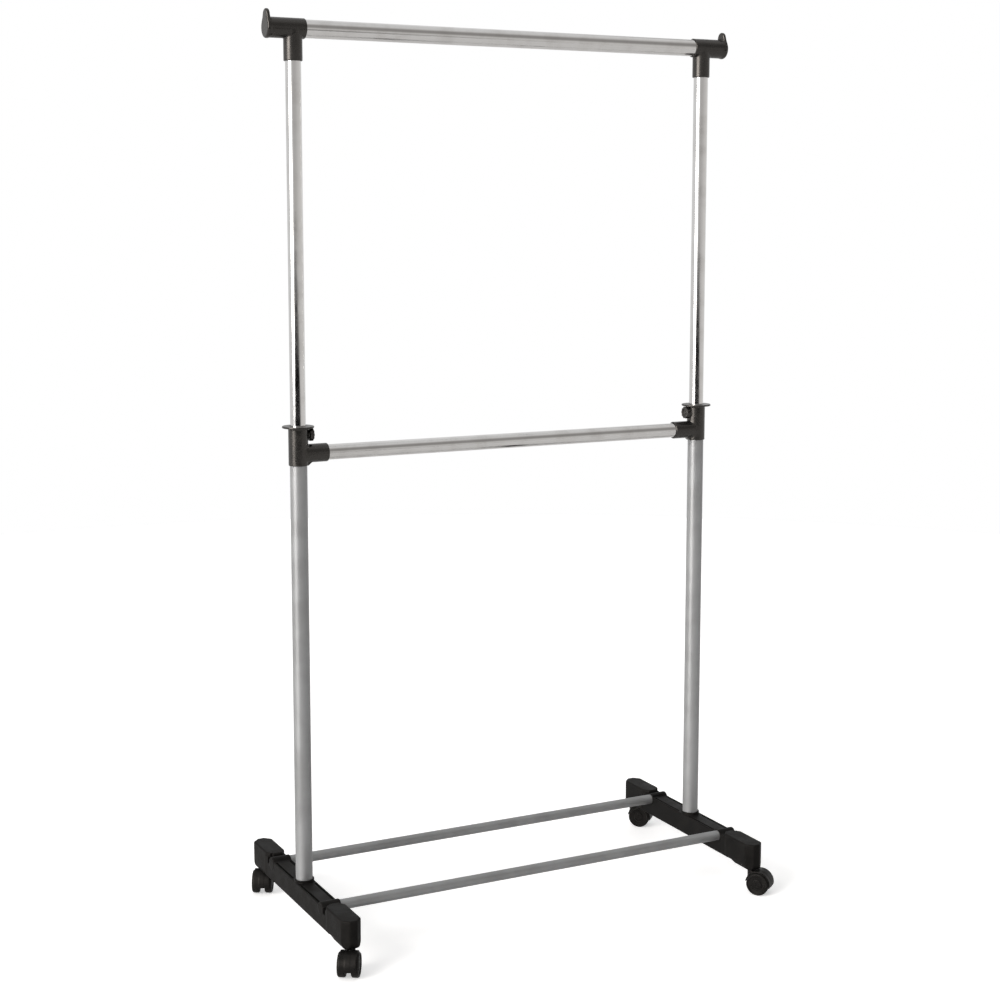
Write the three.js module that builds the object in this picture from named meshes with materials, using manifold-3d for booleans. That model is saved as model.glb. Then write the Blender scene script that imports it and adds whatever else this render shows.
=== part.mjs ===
// A rolling clothes rack: two castored feet, two telescoping posts, a top hanging rail, a lower
// hanging rail and two shoe rails. Millimetres, +Z up, +X to the rack's right, +Y to its back.
// The origin is on the floor, midway between the two posts.

import * as THREE from 'three';
import { mergeVertices } from 'three/addons/utils/BufferGeometryUtils.js';
import Module from 'manifold-3d';

// ---------------------------------------------------------------- driving dimensions

const POST_SPREAD = 380; // each post axis from the middle of the rack
const GAP = 0.3; // clearance between pieces that touch
const ROUND = 24; // facets round a tube or socket
const SMALL_ROUND = 10; // facets round a pin, screw or hole

const LOWER_POST_RADIUS = 14;
const LOWER_POST_BORE = 13.1;
const UPPER_POST_RADIUS = 12.5;
const UPPER_POST_BORE = 11.5;
const TOP_RAIL_RADIUS = 14.3;
const TOP_RAIL_BORE = 13.3;
const MID_RAIL_RADIUS = 12.5;
const MID_RAIL_BORE = 11.6;
const SHOE_RAIL_RADIUS = 8.6;
const SHOE_RAIL_BORE = 7.5;

const TOP_RAIL_HEIGHT = 1469.4;
const MID_RAIL_HEIGHT = 798.5;
const SHOE_RAIL_HEIGHT = 78;
const SHOE_RAIL_SETBACK = 113.7; // each shoe rail from the post line

const FOOT_HALF_WIDTH = 16.5;
const FOOT_TOP = 83;
const FOOT_BOTTOM = 47.6;
const FOOT_EDGE = 1.6; // chamfer along the beam
const FOOT_BEAM_HALF_LENGTH = 150;
const GROOVE_NEAR = 10.8; // the two grooves along the beam's top, from its middle line
const GROOVE_FAR = 14;
const GROOVE_START = 18;
const GROOVE_END = 100;
const GROOVE_FLOOR = 74;
const BEAM_POCKET_HALF_WIDTH = 13.2; // the moulding's hollows, open underneath
const BEAM_POCKET_START = 20;
const BEAM_POCKET_END = 99;
const BEAM_POCKET_ROOF = 70;
const BLOCK_POCKET_HALF_WIDTH = 13;
const BLOCK_POCKET_START = 129;
const BLOCK_POCKET_END = 188;
const BLOCK_POCKET_ROOF = 71;

const END_BLOCK_HALF_WIDTH = 17;
const END_BLOCK_START = 128;
const END_BLOCK_END = 214;
const END_BLOCK_TOP = 89;
const END_BLOCK_BOTTOM = 42.5;
const END_BLOCK_TAPER = 9; // height over which the block draws in at its bottom
const END_BLOCK_NOSE = 11; // plan chamfer of the nose
const END_BLOCK_BACK = 12; // plan chamfer of the back, hidden in the beam
const HEEL_START = 157; // underside level with the beam's up to here, full depth from HEEL_END
const HEEL_END = 168;
const NOTCH_START = 125; // clip notch in the outer top edge, beside the end block
const NOTCH_END = 133;
const NOTCH_FLOOR = 73;
const NOTCH_DEPTH = 9.5;

const RAIL_BOSS_RADIUS = 10.4;
const RAIL_SOCKET_END = 8; // depth past the foot's middle, on the outer side
const RAIL_SCREW_RADIUS = 1.8;
const RAIL_SCREW_HOLE = 2.2;
const RAIL_SCREW_HEAD = 3.4;
const RAIL_SCREW_RECESS = 4;
const RAIL_SCREW_SEAT = 63;
const POST_BOSS_RADIUS = 16.4; // raised ring round the post socket
const POST_BOSS_RISE = 5;
const POST_SOCKET_FLOOR = 57;
const POST_PLUG_BOTTOM = 59;
const POST_PLUG_TOP = 81;
const BOLT_SEAT = 51.5;
const BOLT_RADIUS = 3;
const BOLT_HEAD_RADIUS = 6;
const BOLT_HEAD_ROOM = 7;
const BOLT_TIP = 87;

const CASTOR_SETBACK = 200; // each castor stem from the post line
const CASTOR_TRAIL = 14;
const WHEEL_RADIUS = 19.8;
const WHEEL_INNER = 5; // inner face of a wheel from the castor's middle
const WHEEL_OUTER = 17;
const HOOD_RADIUS = 22.2;
const HOOD_WALL = 1.6;
const HOOD_HALF_WIDTH = 14;
const HOOD_WEB = 4.5; // half thickness of the web between the wheels
const SWIVEL_TOP = 41;
const SWIVEL_BOTTOM = 20;
const SWIVEL_RADIUS = 7.8;
const STEM_RADIUS = 4;
const STEM_PIVOT_RADIUS = 3; // the stem's lower part, in the hood
const STEM_SHOULDER = 7;
const STEM_BOTTOM = 22;
const STEM_TIP = 75.5;
const AXLE_RADIUS = 2.5;
const AXLE_HALF_LENGTH = 14;
const WHEEL_BORE_FLOOR = 14.4; // closed end of a wheel's bore

const COLLAR_RADIUS = 16;
const COLLAR_BOTTOM = 779.5;
const COLLAR_TOP = 843.5;
const COLLAR_FLANGE_RADIUS = 25.8;
const COLLAR_FLANGE_THICKNESS = 3;
const LOWER_POST_TOP = 821.6;
const ARM_RADIUS = 15;
const ARM_END = 49; // arm's open end from the post axis
const ARM_STOP = 18; // floor of the arm's rail socket
const GUSSET_HALF_WIDTH = 7; // small web under the arm
const GUSSET_REACH = 20;
const CLAMP_HEIGHT = 829;
const CLAMP_BOSS_RADIUS = 7.4;
const CLAMP_BOSS_END = 17.6;
const CLAMP_NUT_HALF_WIDTH = 4;
const CLAMP_NUT_NEAR = 13.9; // the square nut's two faces, from the post axis
const CLAMP_NUT_FAR = 16.1;
const KNOB_RADIUS = 10.9;
const KNOB_THICKNESS = 6.8;
const KNOB_LOBES = 10;
const KNOB_LOBE_HEIGHT = 0.45;
const KNOB_DISH_RADIUS = 6.6;
const KNOB_DISH_DEPTH = 1.6;
const KNOB_START = CLAMP_BOSS_END + GAP;
const STUD_RADIUS = 2.2;
const STUD_TIP = UPPER_POST_RADIUS + GAP;
const STUD_END = KNOB_START + 4.5;

const TEE_RADIUS = 16;
const TEE_INNER_END = 19; // barrel's open end from the post axis
const TEE_PLATE_FACE = 46; // end plate's outer face from the post axis
const TEE_PLATE_THICKNESS = 6;
const TEE_SOCKET_RADIUS = 15;
const TEE_SOCKET_BOTTOM = 1419;
const TEE_SOCKET_TOP = 1452;
const TEE_BARREL_FLOOR = 36; // closed end of the rail socket from the post axis
const STOP_TAB_RISE = 19; // centre of the tab's round tip above the rail axis
const STOP_TAB_RADIUS = 9.6;

const UPPER_POST_BOTTOM = 737;
const BUSH_DEPTH = 9; // guide bush below the upper post
const BUSH_RISE = 20; // and up inside it
const BUSH_WALL = 2.4;
const HALF_TURN = Math.PI;
const QUARTER_TURN = Math.PI / 2;

// ---------------------------------------------------------------- materials

const finish = (color, roughness, metalness) =>
  new THREE.MeshStandardMaterial({ color, roughness, metalness });

const blackPlastic = () => finish(0x2b2b28, 0.55, 0);
const wheelPlastic = () => finish(0x1f1f1d, 0.4, 0);
const greyPaint = () => finish(0x9c9c9e, 0.45, 0.3);
const chrome = () => finish(0xd9d8d6, 0.1, 1);
const steel = () => finish(0x9a9a98, 0.35, 1);
const nylon = () => finish(0xd8d6cd, 0.6, 0);

// ---------------------------------------------------------------- solids

const wasm = await Module();
wasm.setup();

// A closed three.js geometry as a solid that can be joined and cut.
function solid(geometry) {
  const bare = geometry.clone();
  bare.deleteAttribute('normal');
  bare.deleteAttribute('uv');
  const merged = mergeVertices(bare, 1e-4);
  return new wasm.Manifold(new wasm.Mesh({
    numProp: 3,
    vertProperties: new Float32Array(merged.attributes.position.array),
    triVerts: new Uint32Array(merged.index.array),
  }));
}

// A solid back as a three.js geometry with flat facets.
function geometryOf(manifold) {
  const mesh = manifold.getMesh();
  const indexed = new THREE.BufferGeometry();
  indexed.setAttribute('position', new THREE.BufferAttribute(mesh.vertProperties, 3));
  indexed.setIndex(new THREE.BufferAttribute(mesh.triVerts, 1));
  const faceted = indexed.toNonIndexed();
  faceted.computeVertexNormals();
  return faceted;
}

const joined = (first, ...others) => others.reduce((sum, other) => sum.add(other), first);
const cutBy = (body, ...tools) => tools.reduce((rest, tool) => rest.subtract(tool), body);

function boxGeometry(low, high) {
  const [dx, dy, dz] = high.map((value, axis) => value - low[axis]);
  const [cx, cy, cz] = high.map((value, axis) => (value + low[axis]) / 2);
  return new THREE.BoxGeometry(dx, dy, dz).translate(cx, cy, cz);
}

const box = (low, high) => solid(boxGeometry(low, high));

// A turned shape about Z, from (radius, height) pairs that start and end on the axis or close.
function turned(profile, facets = ROUND) {
  const points = profile.map(([radius, height]) => new THREE.Vector2(radius, height));
  return new THREE.LatheGeometry(points, facets).rotateX(QUARTER_TURN);
}

// Closed profiles for a plain rod and for a tube with square ends.
const rodProfile = (radius, low, high) => [[0, low], [radius, low], [radius, high], [0, high]];
const tubeProfile = (outer, inner, low, high) =>
  [[outer, low], [outer, high], [inner, high], [inner, low], [outer, low]];

const rodZ = (radius, low, high, facets) => solid(turned(rodProfile(radius, low, high), facets));
const alongX = (geometry) => geometry.rotateY(QUARTER_TURN);
const alongY = (geometry) => geometry.rotateX(-QUARTER_TURN);
const rodX = (radius, low, high, facets) =>
  solid(alongX(turned(rodProfile(radius, low, high), facets)));
const rodY = (radius, low, high, facets) =>
  solid(alongY(turned(rodProfile(radius, low, high), facets)));

// A straight prism of an (x, z) outline between two y planes.
function prismY(outline, low, high) {
  const shape = new THREE.Shape(outline.map(([x, z]) => new THREE.Vector2(x, z)));
  const settings = { depth: high - low, bevelEnabled: false };
  return solid(new THREE.ExtrudeGeometry(shape, settings).rotateX(QUARTER_TURN).translate(0, high, 0));
}

// A straight prism of a (y, z) outline between two x planes.
function prismX(shape, low, high, curveSegments = 16) {
  const settings = { depth: high - low, bevelEnabled: false, curveSegments };
  const geometry = new THREE.ExtrudeGeometry(shape, settings);
  return solid(geometry.rotateX(QUARTER_TURN).rotateZ(QUARTER_TURN).translate(low, 0, 0));
}

// A solid through convex outlines stacked up Z; every outline has the same number of points.
function stacked(levels) {
  const count = levels[0].outline.length;
  const positions = levels.flatMap(({ z, outline }) => outline.flatMap(([x, y]) => [x, y, z]));
  const faces = [];
  for (let level = 0; level + 1 < levels.length; level += 1) {
    for (let i = 0; i < count; i += 1) {
      const next = (i + 1) % count;
      const a = level * count + i;
      const b = level * count + next;
      faces.push(a, b, b + count, a, b + count, a + count);
    }
  }
  const last = (levels.length - 1) * count;
  for (let i = 1; i + 1 < count; i += 1) {
    faces.push(0, i + 1, i);
    faces.push(last, last + i, last + i + 1);
  }
  const geometry = new THREE.BufferGeometry();
  geometry.setAttribute('position', new THREE.Float32BufferAttribute(positions, 3));
  geometry.setIndex(faces);
  return solid(geometry);
}

// ---------------------------------------------------------------- assembly helpers

const rack = new THREE.Group();

function piece(parent, name, geometry, material) {
  const mesh = new THREE.Mesh(geometry, material);
  mesh.name = name;
  parent.add(mesh);
  return mesh;
}

// Side pieces are drawn for the left post, with the inner side on +X, and turned for the right.
function sideGroup(side) {
  const group = new THREE.Group();
  group.position.x = side.sign * POST_SPREAD;
  group.rotation.z = side.sign > 0 ? HALF_TURN : 0;
  rack.add(group);
  return group;
}

const SIDES = [{ name: 'left', sign: -1 }, { name: 'right', sign: 1 }];

// ---------------------------------------------------------------- feet

// Plan outline of an end block at the +Y end, drawn in by nose, side and back insets.
function endBlockOutline(noseInset, sideInset, backInset) {
  const side = END_BLOCK_HALF_WIDTH - sideInset;
  const nose = END_BLOCK_END - noseInset;
  const back = END_BLOCK_START + backInset;
  const corner = side - END_BLOCK_NOSE;
  const heel = END_BLOCK_HALF_WIDTH - END_BLOCK_NOSE + 3;
  return [
    [side, back + END_BLOCK_BACK], [side, nose - END_BLOCK_NOSE], [corner, nose],
    [-corner, nose], [-side, nose - END_BLOCK_NOSE], [-side, back + END_BLOCK_BACK],
    [-heel, back], [heel, back],
  ];
}

function endBlock() {
  const block = stacked([
    { z: END_BLOCK_BOTTOM, outline: endBlockOutline(3.5, 4, 1) },
    { z: END_BLOCK_BOTTOM + END_BLOCK_TAPER, outline: endBlockOutline(0, 0, 0) },
    { z: END_BLOCK_TOP - 3, outline: endBlockOutline(0, 0, 0) },
    { z: END_BLOCK_TOP, outline: endBlockOutline(2.5, 2.5, 2.5) },
  ]);
  const underHeel = END_BLOCK_BOTTOM - 1;
  const heelRelief = prismX(new THREE.Shape([
    new THREE.Vector2(END_BLOCK_START - 1, underHeel),
    new THREE.Vector2(HEEL_END, underHeel),
    new THREE.Vector2(HEEL_END, END_BLOCK_BOTTOM),
    new THREE.Vector2(HEEL_START, FOOT_BOTTOM),
    new THREE.Vector2(END_BLOCK_START - 1, FOOT_BOTTOM),
  ]), -END_BLOCK_HALF_WIDTH - 1, END_BLOCK_HALF_WIDTH + 1);
  return cutBy(block, heelRelief);
}

// Everything at one end of a foot, for the +Y end; the other end is the same, turned.
function footEnd() {
  const railBoss = rodX(RAIL_BOSS_RADIUS, -FOOT_HALF_WIDTH, FOOT_HALF_WIDTH)
    .translate([0, SHOE_RAIL_SETBACK, SHOE_RAIL_HEIGHT]);
  return joined(endBlock(), railBoss);
}

// A box between two places measured outwards along X on one hand, -1 or +1.
function handedBox(hand, [near, y0, z0], [far, y1, z1]) {
  const [low, high] = hand > 0 ? [near, far] : [-far, -near];
  return box([low, y0, z0], [high, y1, z1]);
}

// The cuts at one end of a foot. inner is +1 where the rack's middle is on +X of the drawing.
function footEndCuts(inner) {
  const railSocket = rodX(SHOE_RAIL_RADIUS + GAP, -RAIL_SOCKET_END, FOOT_HALF_WIDTH + 1)
    .rotate([0, 0, inner > 0 ? 0 : 180])
    .translate([0, SHOE_RAIL_SETBACK, SHOE_RAIL_HEIGHT]);
  const screwHole = joined(
    rodZ(RAIL_SCREW_RECESS, FOOT_BOTTOM - 1, RAIL_SCREW_SEAT, SMALL_ROUND),
    rodZ(RAIL_SCREW_HOLE, RAIL_SCREW_SEAT - 1, SHOE_RAIL_HEIGHT - SHOE_RAIL_RADIUS + 2, SMALL_ROUND),
  ).translate([0, SHOE_RAIL_SETBACK, 0]);
  const stemHole = rodZ(STEM_RADIUS + GAP, END_BLOCK_BOTTOM - 1, STEM_TIP + 0.5, SMALL_ROUND)
    .translate([0, CASTOR_SETBACK, 0]);
  const clipNotch = handedBox(
    -inner,
    [END_BLOCK_HALF_WIDTH - NOTCH_DEPTH, NOTCH_START, NOTCH_FLOOR],
    [END_BLOCK_HALF_WIDTH + 1, NOTCH_END, END_BLOCK_TOP + 1],
  );
  const grooves = [-1, 1].map((hand) => handedBox(
    hand, [GROOVE_NEAR, GROOVE_START, GROOVE_FLOOR], [GROOVE_FAR, GROOVE_END, FOOT_TOP + 1],
  ));
  const beamPocket = box(
    [-BEAM_POCKET_HALF_WIDTH, BEAM_POCKET_START, FOOT_BOTTOM - 1],
    [BEAM_POCKET_HALF_WIDTH, BEAM_POCKET_END, BEAM_POCKET_ROOF],
  );
  const blockPocket = box(
    [-BLOCK_POCKET_HALF_WIDTH, BLOCK_POCKET_START, END_BLOCK_BOTTOM - 1],
    [BLOCK_POCKET_HALF_WIDTH, BLOCK_POCKET_END, BLOCK_POCKET_ROOF],
  );
  return joined(railSocket, screwHole, stemHole, clipNotch, ...grooves, beamPocket, blockPocket);
}

function footGeometry() {
  const edge = FOOT_EDGE;
  const wide = FOOT_HALF_WIDTH;
  const bossTop = FOOT_TOP + POST_BOSS_RISE;
  const beam = prismY([
    [-wide, FOOT_BOTTOM + edge], [-wide + edge, FOOT_BOTTOM], [wide - edge, FOOT_BOTTOM],
    [wide, FOOT_BOTTOM + edge], [wide, FOOT_TOP - edge], [wide - edge, FOOT_TOP],
    [-wide + edge, FOOT_TOP], [-wide, FOOT_TOP - edge],
  ], -FOOT_BEAM_HALF_LENGTH, FOOT_BEAM_HALF_LENGTH);
  const postBoss = solid(turned([
    [0, FOOT_TOP - 2], [POST_BOSS_RADIUS, FOOT_TOP - 2], [POST_BOSS_RADIUS, bossTop - 0.8],
    [POST_BOSS_RADIUS - 0.8, bossTop], [0, bossTop],
  ]));
  const postSocket = rodZ(LOWER_POST_RADIUS + GAP, POST_SOCKET_FLOOR, bossTop + 1);
  const boltHole = joined(
    rodZ(BOLT_HEAD_ROOM, FOOT_BOTTOM - 1, BOLT_SEAT, SMALL_ROUND),
    rodZ(BOLT_RADIUS + GAP, BOLT_SEAT - 1, POST_SOCKET_FLOOR + 1, SMALL_ROUND),
  );
  const body = joined(beam, postBoss, footEnd(), footEnd().rotate([0, 0, 180]));
  return geometryOf(cutBy(
    body, postSocket, boltHole, footEndCuts(1), footEndCuts(-1).rotate([0, 0, 180]),
  ));
}

// ---------------------------------------------------------------- post fastening

function postPlugGeometry() {
  const plug = rodZ(LOWER_POST_BORE - GAP, POST_PLUG_BOTTOM, POST_PLUG_TOP);
  const bore = rodZ(BOLT_RADIUS + GAP, POST_PLUG_BOTTOM - 1, POST_PLUG_TOP + 1, SMALL_ROUND);
  return geometryOf(cutBy(plug, bore));
}

function postBoltGeometry() {
  const seat = BOLT_SEAT - GAP;
  const underside = seat - 3.3;
  return turned([
    [0, underside], [BOLT_HEAD_RADIUS - 0.6, underside], [BOLT_HEAD_RADIUS, underside + 0.6],
    [BOLT_HEAD_RADIUS, seat], [BOLT_RADIUS, seat], [BOLT_RADIUS, BOLT_TIP - 1],
    [BOLT_RADIUS - 0.8, BOLT_TIP], [0, BOLT_TIP],
  ], SMALL_ROUND);
}

function railScrewGeometry() {
  const seat = RAIL_SCREW_SEAT - GAP;
  const tip = SHOE_RAIL_HEIGHT - 3;
  return turned([
    [0, seat - 2.7], [RAIL_SCREW_HEAD, seat - 2.7], [RAIL_SCREW_HEAD, seat],
    [RAIL_SCREW_RADIUS, seat], [RAIL_SCREW_RADIUS, tip - 2], [0, tip],
  ], SMALL_ROUND);
}

// ---------------------------------------------------------------- castors

function stemGeometry() {
  const shoulderBottom = SWIVEL_TOP + GAP;
  const shoulderTop = END_BLOCK_BOTTOM - GAP;
  return turned([
    [0, STEM_BOTTOM], [STEM_PIVOT_RADIUS, STEM_BOTTOM], [STEM_PIVOT_RADIUS, shoulderBottom],
    [STEM_SHOULDER, shoulderBottom], [STEM_SHOULDER, shoulderTop], [STEM_RADIUS, shoulderTop],
    [STEM_RADIUS, STEM_TIP - 1.5], [STEM_RADIUS - 1, STEM_TIP], [0, STEM_TIP],
  ], SMALL_ROUND);
}

// The castor's hood and web, with the stem on the origin and the axle CASTOR_TRAIL along +X.
function hoodGeometry() {
  const { degToRad } = THREE.MathUtils;
  const first = degToRad(-14); // fender's low edge behind the axle
  const last = degToRad(172); // fender's low edge under the stem
  const webBelow = degToRad(14); // how far the web reaches below the axle at each end
  const fenderShape = new THREE.Shape();
  fenderShape.absarc(0, 0, HOOD_RADIUS, first, last, false);
  fenderShape.absarc(0, 0, HOOD_RADIUS - HOOD_WALL, last, first, true);
  const webShape = new THREE.Shape();
  webShape.absarc(0, 0, HOOD_RADIUS, -webBelow, HALF_TURN + webBelow, false);
  const acrossAxle = (shape, half) => solid(
    new THREE.ExtrudeGeometry(shape, { depth: 2 * half, bevelEnabled: false, curveSegments: 8 })
      .rotateX(QUARTER_TURN)
      .translate(CASTOR_TRAIL, half, WHEEL_RADIUS),
  );
  const swivelBoss = rodZ(SWIVEL_RADIUS, SWIVEL_BOTTOM, SWIVEL_TOP, 20);
  const roomRadius = HOOD_RADIUS - HOOD_WALL - 0.1;
  const wheelRoom = [0, 180].map((turn) => rodY(roomRadius, HOOD_WEB, HOOD_HALF_WIDTH + 6, ROUND)
    .rotate([0, 0, turn])
    .translate([CASTOR_TRAIL, 0, WHEEL_RADIUS]));
  const stemHole = rodZ(STEM_PIVOT_RADIUS + GAP, STEM_BOTTOM - 0.5, SWIVEL_TOP + 1, SMALL_ROUND);
  const axleHole = rodY(AXLE_RADIUS + GAP, -HOOD_WEB - 1, HOOD_WEB + 1, SMALL_ROUND)
    .translate([CASTOR_TRAIL, 0, WHEEL_RADIUS]);
  const body = joined(
    acrossAxle(fenderShape, HOOD_HALF_WIDTH), acrossAxle(webShape, HOOD_WEB - 0.1), swivelBoss,
  );
  return geometryOf(cutBy(body, ...wheelRoom, stemHole, axleHole));
}

// One wheel about its own axle, with its outer face on +Z of the drawing.
function wheelGeometry() {
  const bore = AXLE_RADIUS + GAP;
  const dish = WHEEL_OUTER - 1.2;
  return turned([
    [0, WHEEL_BORE_FLOOR], [bore, WHEEL_BORE_FLOOR], [bore, WHEEL_INNER],
    [WHEEL_RADIUS, WHEEL_INNER], [WHEEL_RADIUS, WHEEL_OUTER - 1.6],
    [WHEEL_RADIUS - 1.4, WHEEL_OUTER], [WHEEL_RADIUS - 4.5, WHEEL_OUTER],
    [WHEEL_RADIUS - 5.5, dish], [0, dish],
  ]);
}

function axleGeometry() {
  return alongY(turned(rodProfile(AXLE_RADIUS, -AXLE_HALF_LENGTH, AXLE_HALF_LENGTH), SMALL_ROUND));
}

// heading: the way the castor trails, in degrees from +X towards +Y
const CASTORS = [
  { name: 'front_left', side: -1, end: -1, heading: -122 },
  { name: 'back_left', side: -1, end: 1, heading: -118 },
  { name: 'front_right', side: 1, end: -1, heading: -52 },
  { name: 'back_right', side: 1, end: 1, heading: -45 },
];

function addCastor({ name, side, end, heading }) {
  const stem = new THREE.Group();
  stem.position.set(side * POST_SPREAD, end * CASTOR_SETBACK, 0);
  rack.add(stem);
  piece(stem, `${name}_castor_stem`, stemGeometry(), steel());

  const swivel = new THREE.Group();
  swivel.rotation.z = THREE.MathUtils.degToRad(heading);
  stem.add(swivel);
  piece(swivel, `${name}_castor_hood`, hoodGeometry(), blackPlastic());

  const axle = piece(swivel, `${name}_castor_axle`, axleGeometry(), steel());
  axle.position.set(CASTOR_TRAIL, 0, WHEEL_RADIUS);
  for (const [hand, turn] of [['a', -QUARTER_TURN], ['b', QUARTER_TURN]]) {
    const wheel = piece(swivel, `${name}_wheel_${hand}`, wheelGeometry(), wheelPlastic());
    wheel.position.copy(axle.position);
    wheel.rotation.x = turn;
  }
}

// ---------------------------------------------------------------- tubes

function postGeometry(outer, inner, low, high) {
  return turned(tubeProfile(outer, inner, low, high));
}

const lowerPostGeometry = () =>
  postGeometry(LOWER_POST_RADIUS, LOWER_POST_BORE, POST_SOCKET_FLOOR + GAP, LOWER_POST_TOP);
const upperPostGeometry = () =>
  postGeometry(UPPER_POST_RADIUS, UPPER_POST_BORE, UPPER_POST_BOTTOM, TEE_SOCKET_TOP - GAP);

// Nylon plug and collar on the bottom end of an upper post, a sliding fit in the lower post.
function guideBushGeometry() {
  const collar = LOWER_POST_BORE - GAP;
  const plug = UPPER_POST_BORE - GAP;
  const bore = plug - BUSH_WALL;
  const bottom = UPPER_POST_BOTTOM - BUSH_DEPTH;
  const rim = UPPER_POST_BOTTOM - GAP;
  const top = UPPER_POST_BOTTOM + BUSH_RISE;
  return turned([
    [collar, bottom], [collar, rim], [plug, rim], [plug, top], [bore, top], [bore, bottom],
    [collar, bottom],
  ]);
}

function railGeometry(outer, inner, reach) {
  return alongX(turned(tubeProfile(outer, inner, -reach, reach)));
}

function shoeRailGeometry() {
  const reach = POST_SPREAD + RAIL_SOCKET_END - GAP;
  const tube = solid(railGeometry(SHOE_RAIL_RADIUS, SHOE_RAIL_BORE, reach));
  const screwHoles = [-1, 1].map((end) =>
    rodZ(RAIL_SCREW_HOLE, -SHOE_RAIL_RADIUS - 1, 0, SMALL_ROUND)
      .translate([end * POST_SPREAD, 0, 0]));
  return geometryOf(cutBy(tube, ...screwHoles));
}

// ---------------------------------------------------------------- collars and clamps

function collarGeometry() {
  const flangeUnderside = COLLAR_TOP - COLLAR_FLANGE_THICKNESS;
  const sleeve = solid(turned([
    [0, COLLAR_BOTTOM], [COLLAR_RADIUS - 1, COLLAR_BOTTOM], [COLLAR_RADIUS, COLLAR_BOTTOM + 1.2],
    [COLLAR_RADIUS, flangeUnderside - 3], [COLLAR_RADIUS + 1, flangeUnderside - 1],
    [COLLAR_RADIUS + 3, flangeUnderside], [COLLAR_FLANGE_RADIUS - 1, flangeUnderside],
    [COLLAR_FLANGE_RADIUS, flangeUnderside + 1], [COLLAR_FLANGE_RADIUS, COLLAR_TOP - 1],
    [COLLAR_FLANGE_RADIUS - 1, COLLAR_TOP], [0, COLLAR_TOP],
  ]));
  const arm = solid(alongX(turned([
    [0, 0], [ARM_RADIUS, 0], [ARM_RADIUS, ARM_END - 1.4], [ARM_RADIUS - 1, ARM_END], [0, ARM_END],
  ]))).translate([0, 0, MID_RAIL_HEIGHT]);
  const armUnderside = MID_RAIL_HEIGHT - ARM_RADIUS;
  const insideWall = COLLAR_RADIUS / 2; // where the added shapes start, well inside the sleeve
  const gusset = prismY([
    [insideWall, COLLAR_BOTTOM], [COLLAR_RADIUS - 0.5, COLLAR_BOTTOM],
    [GUSSET_REACH, armUnderside + 0.8], [GUSSET_REACH, armUnderside + 3],
    [insideWall, armUnderside + 3],
  ], -GUSSET_HALF_WIDTH, GUSSET_HALF_WIDTH);
  const clampBoss = rodX(CLAMP_BOSS_RADIUS, insideWall, CLAMP_BOSS_END, 20)
    .translate([0, 0, CLAMP_HEIGHT]);
  const lowerBore = rodZ(LOWER_POST_RADIUS + GAP, COLLAR_BOTTOM - 1, LOWER_POST_TOP + GAP);
  const upperBore = rodZ(UPPER_POST_RADIUS + GAP, COLLAR_BOTTOM - 1, COLLAR_TOP + 1);
  const armSocket = rodX(MID_RAIL_RADIUS + GAP, ARM_STOP, ARM_END + 1)
    .translate([0, 0, MID_RAIL_HEIGHT]);
  const studHole = rodX(STUD_RADIUS + GAP, insideWall, CLAMP_BOSS_END + 1, SMALL_ROUND)
    .translate([0, 0, CLAMP_HEIGHT]);
  const slot = CLAMP_NUT_HALF_WIDTH + GAP;
  const nutPocket = box(
    [CLAMP_NUT_NEAR - GAP, -slot, CLAMP_HEIGHT - slot],
    [CLAMP_NUT_FAR + GAP, slot, CLAMP_HEIGHT + slot],
  );
  return geometryOf(cutBy(
    joined(sleeve, arm, gusset, clampBoss), lowerBore, upperBore, armSocket, studHole, nutPocket,
  ));
}

// Square nut moulded into the collar's boss, threaded on the clamp stud.
function clampNutGeometry() {
  const half = CLAMP_NUT_HALF_WIDTH;
  const nut = box(
    [CLAMP_NUT_NEAR, -half, CLAMP_HEIGHT - half], [CLAMP_NUT_FAR, half, CLAMP_HEIGHT + half],
  );
  const thread = rodX(STUD_RADIUS + GAP, CLAMP_NUT_NEAR - 1, CLAMP_NUT_FAR + 1, SMALL_ROUND)
    .translate([0, 0, CLAMP_HEIGHT]);
  return geometryOf(cutBy(nut, thread));
}

function clampStudGeometry() {
  const stud = turned([
    [0, STUD_TIP], [STUD_RADIUS, STUD_TIP + 0.4], [STUD_RADIUS, STUD_END], [0, STUD_END],
  ], SMALL_ROUND);
  return alongX(stud).translate(0, 0, CLAMP_HEIGHT);
}

function clampKnobGeometry() {
  const steps = 4 * KNOB_LOBES;
  const outline = Array.from({ length: steps }, (_, i) => {
    const angle = (2 * Math.PI * i) / steps;
    const radius = KNOB_RADIUS - KNOB_LOBE_HEIGHT * (1 - Math.cos(KNOB_LOBES * angle));
    return new THREE.Vector2(radius * Math.cos(angle), radius * Math.sin(angle));
  });
  const face = KNOB_START + KNOB_THICKNESS;
  const grip = prismX(new THREE.Shape(outline), KNOB_START, face);
  const dish = rodX(KNOB_DISH_RADIUS, face - KNOB_DISH_DEPTH, face + 1, 20);
  const bore = rodX(STUD_RADIUS + GAP, KNOB_START - 1, STUD_END + GAP, SMALL_ROUND);
  return geometryOf(cutBy(grip, dish, bore).translate([0, 0, CLAMP_HEIGHT]));
}

// ---------------------------------------------------------------- top connectors

// End plate outline about the rail axis, in (y, z): a disc drawn up to a narrower round tip.
function stopPlateShape() {
  const lean = Math.asin((TEE_RADIUS - STOP_TAB_RADIUS) / STOP_TAB_RISE);
  const shape = new THREE.Shape();
  shape.absarc(0, 0, TEE_RADIUS, HALF_TURN - lean, 2 * Math.PI + lean, false);
  shape.absarc(0, STOP_TAB_RISE, STOP_TAB_RADIUS, lean, HALF_TURN - lean, false);
  return shape;
}

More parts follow.
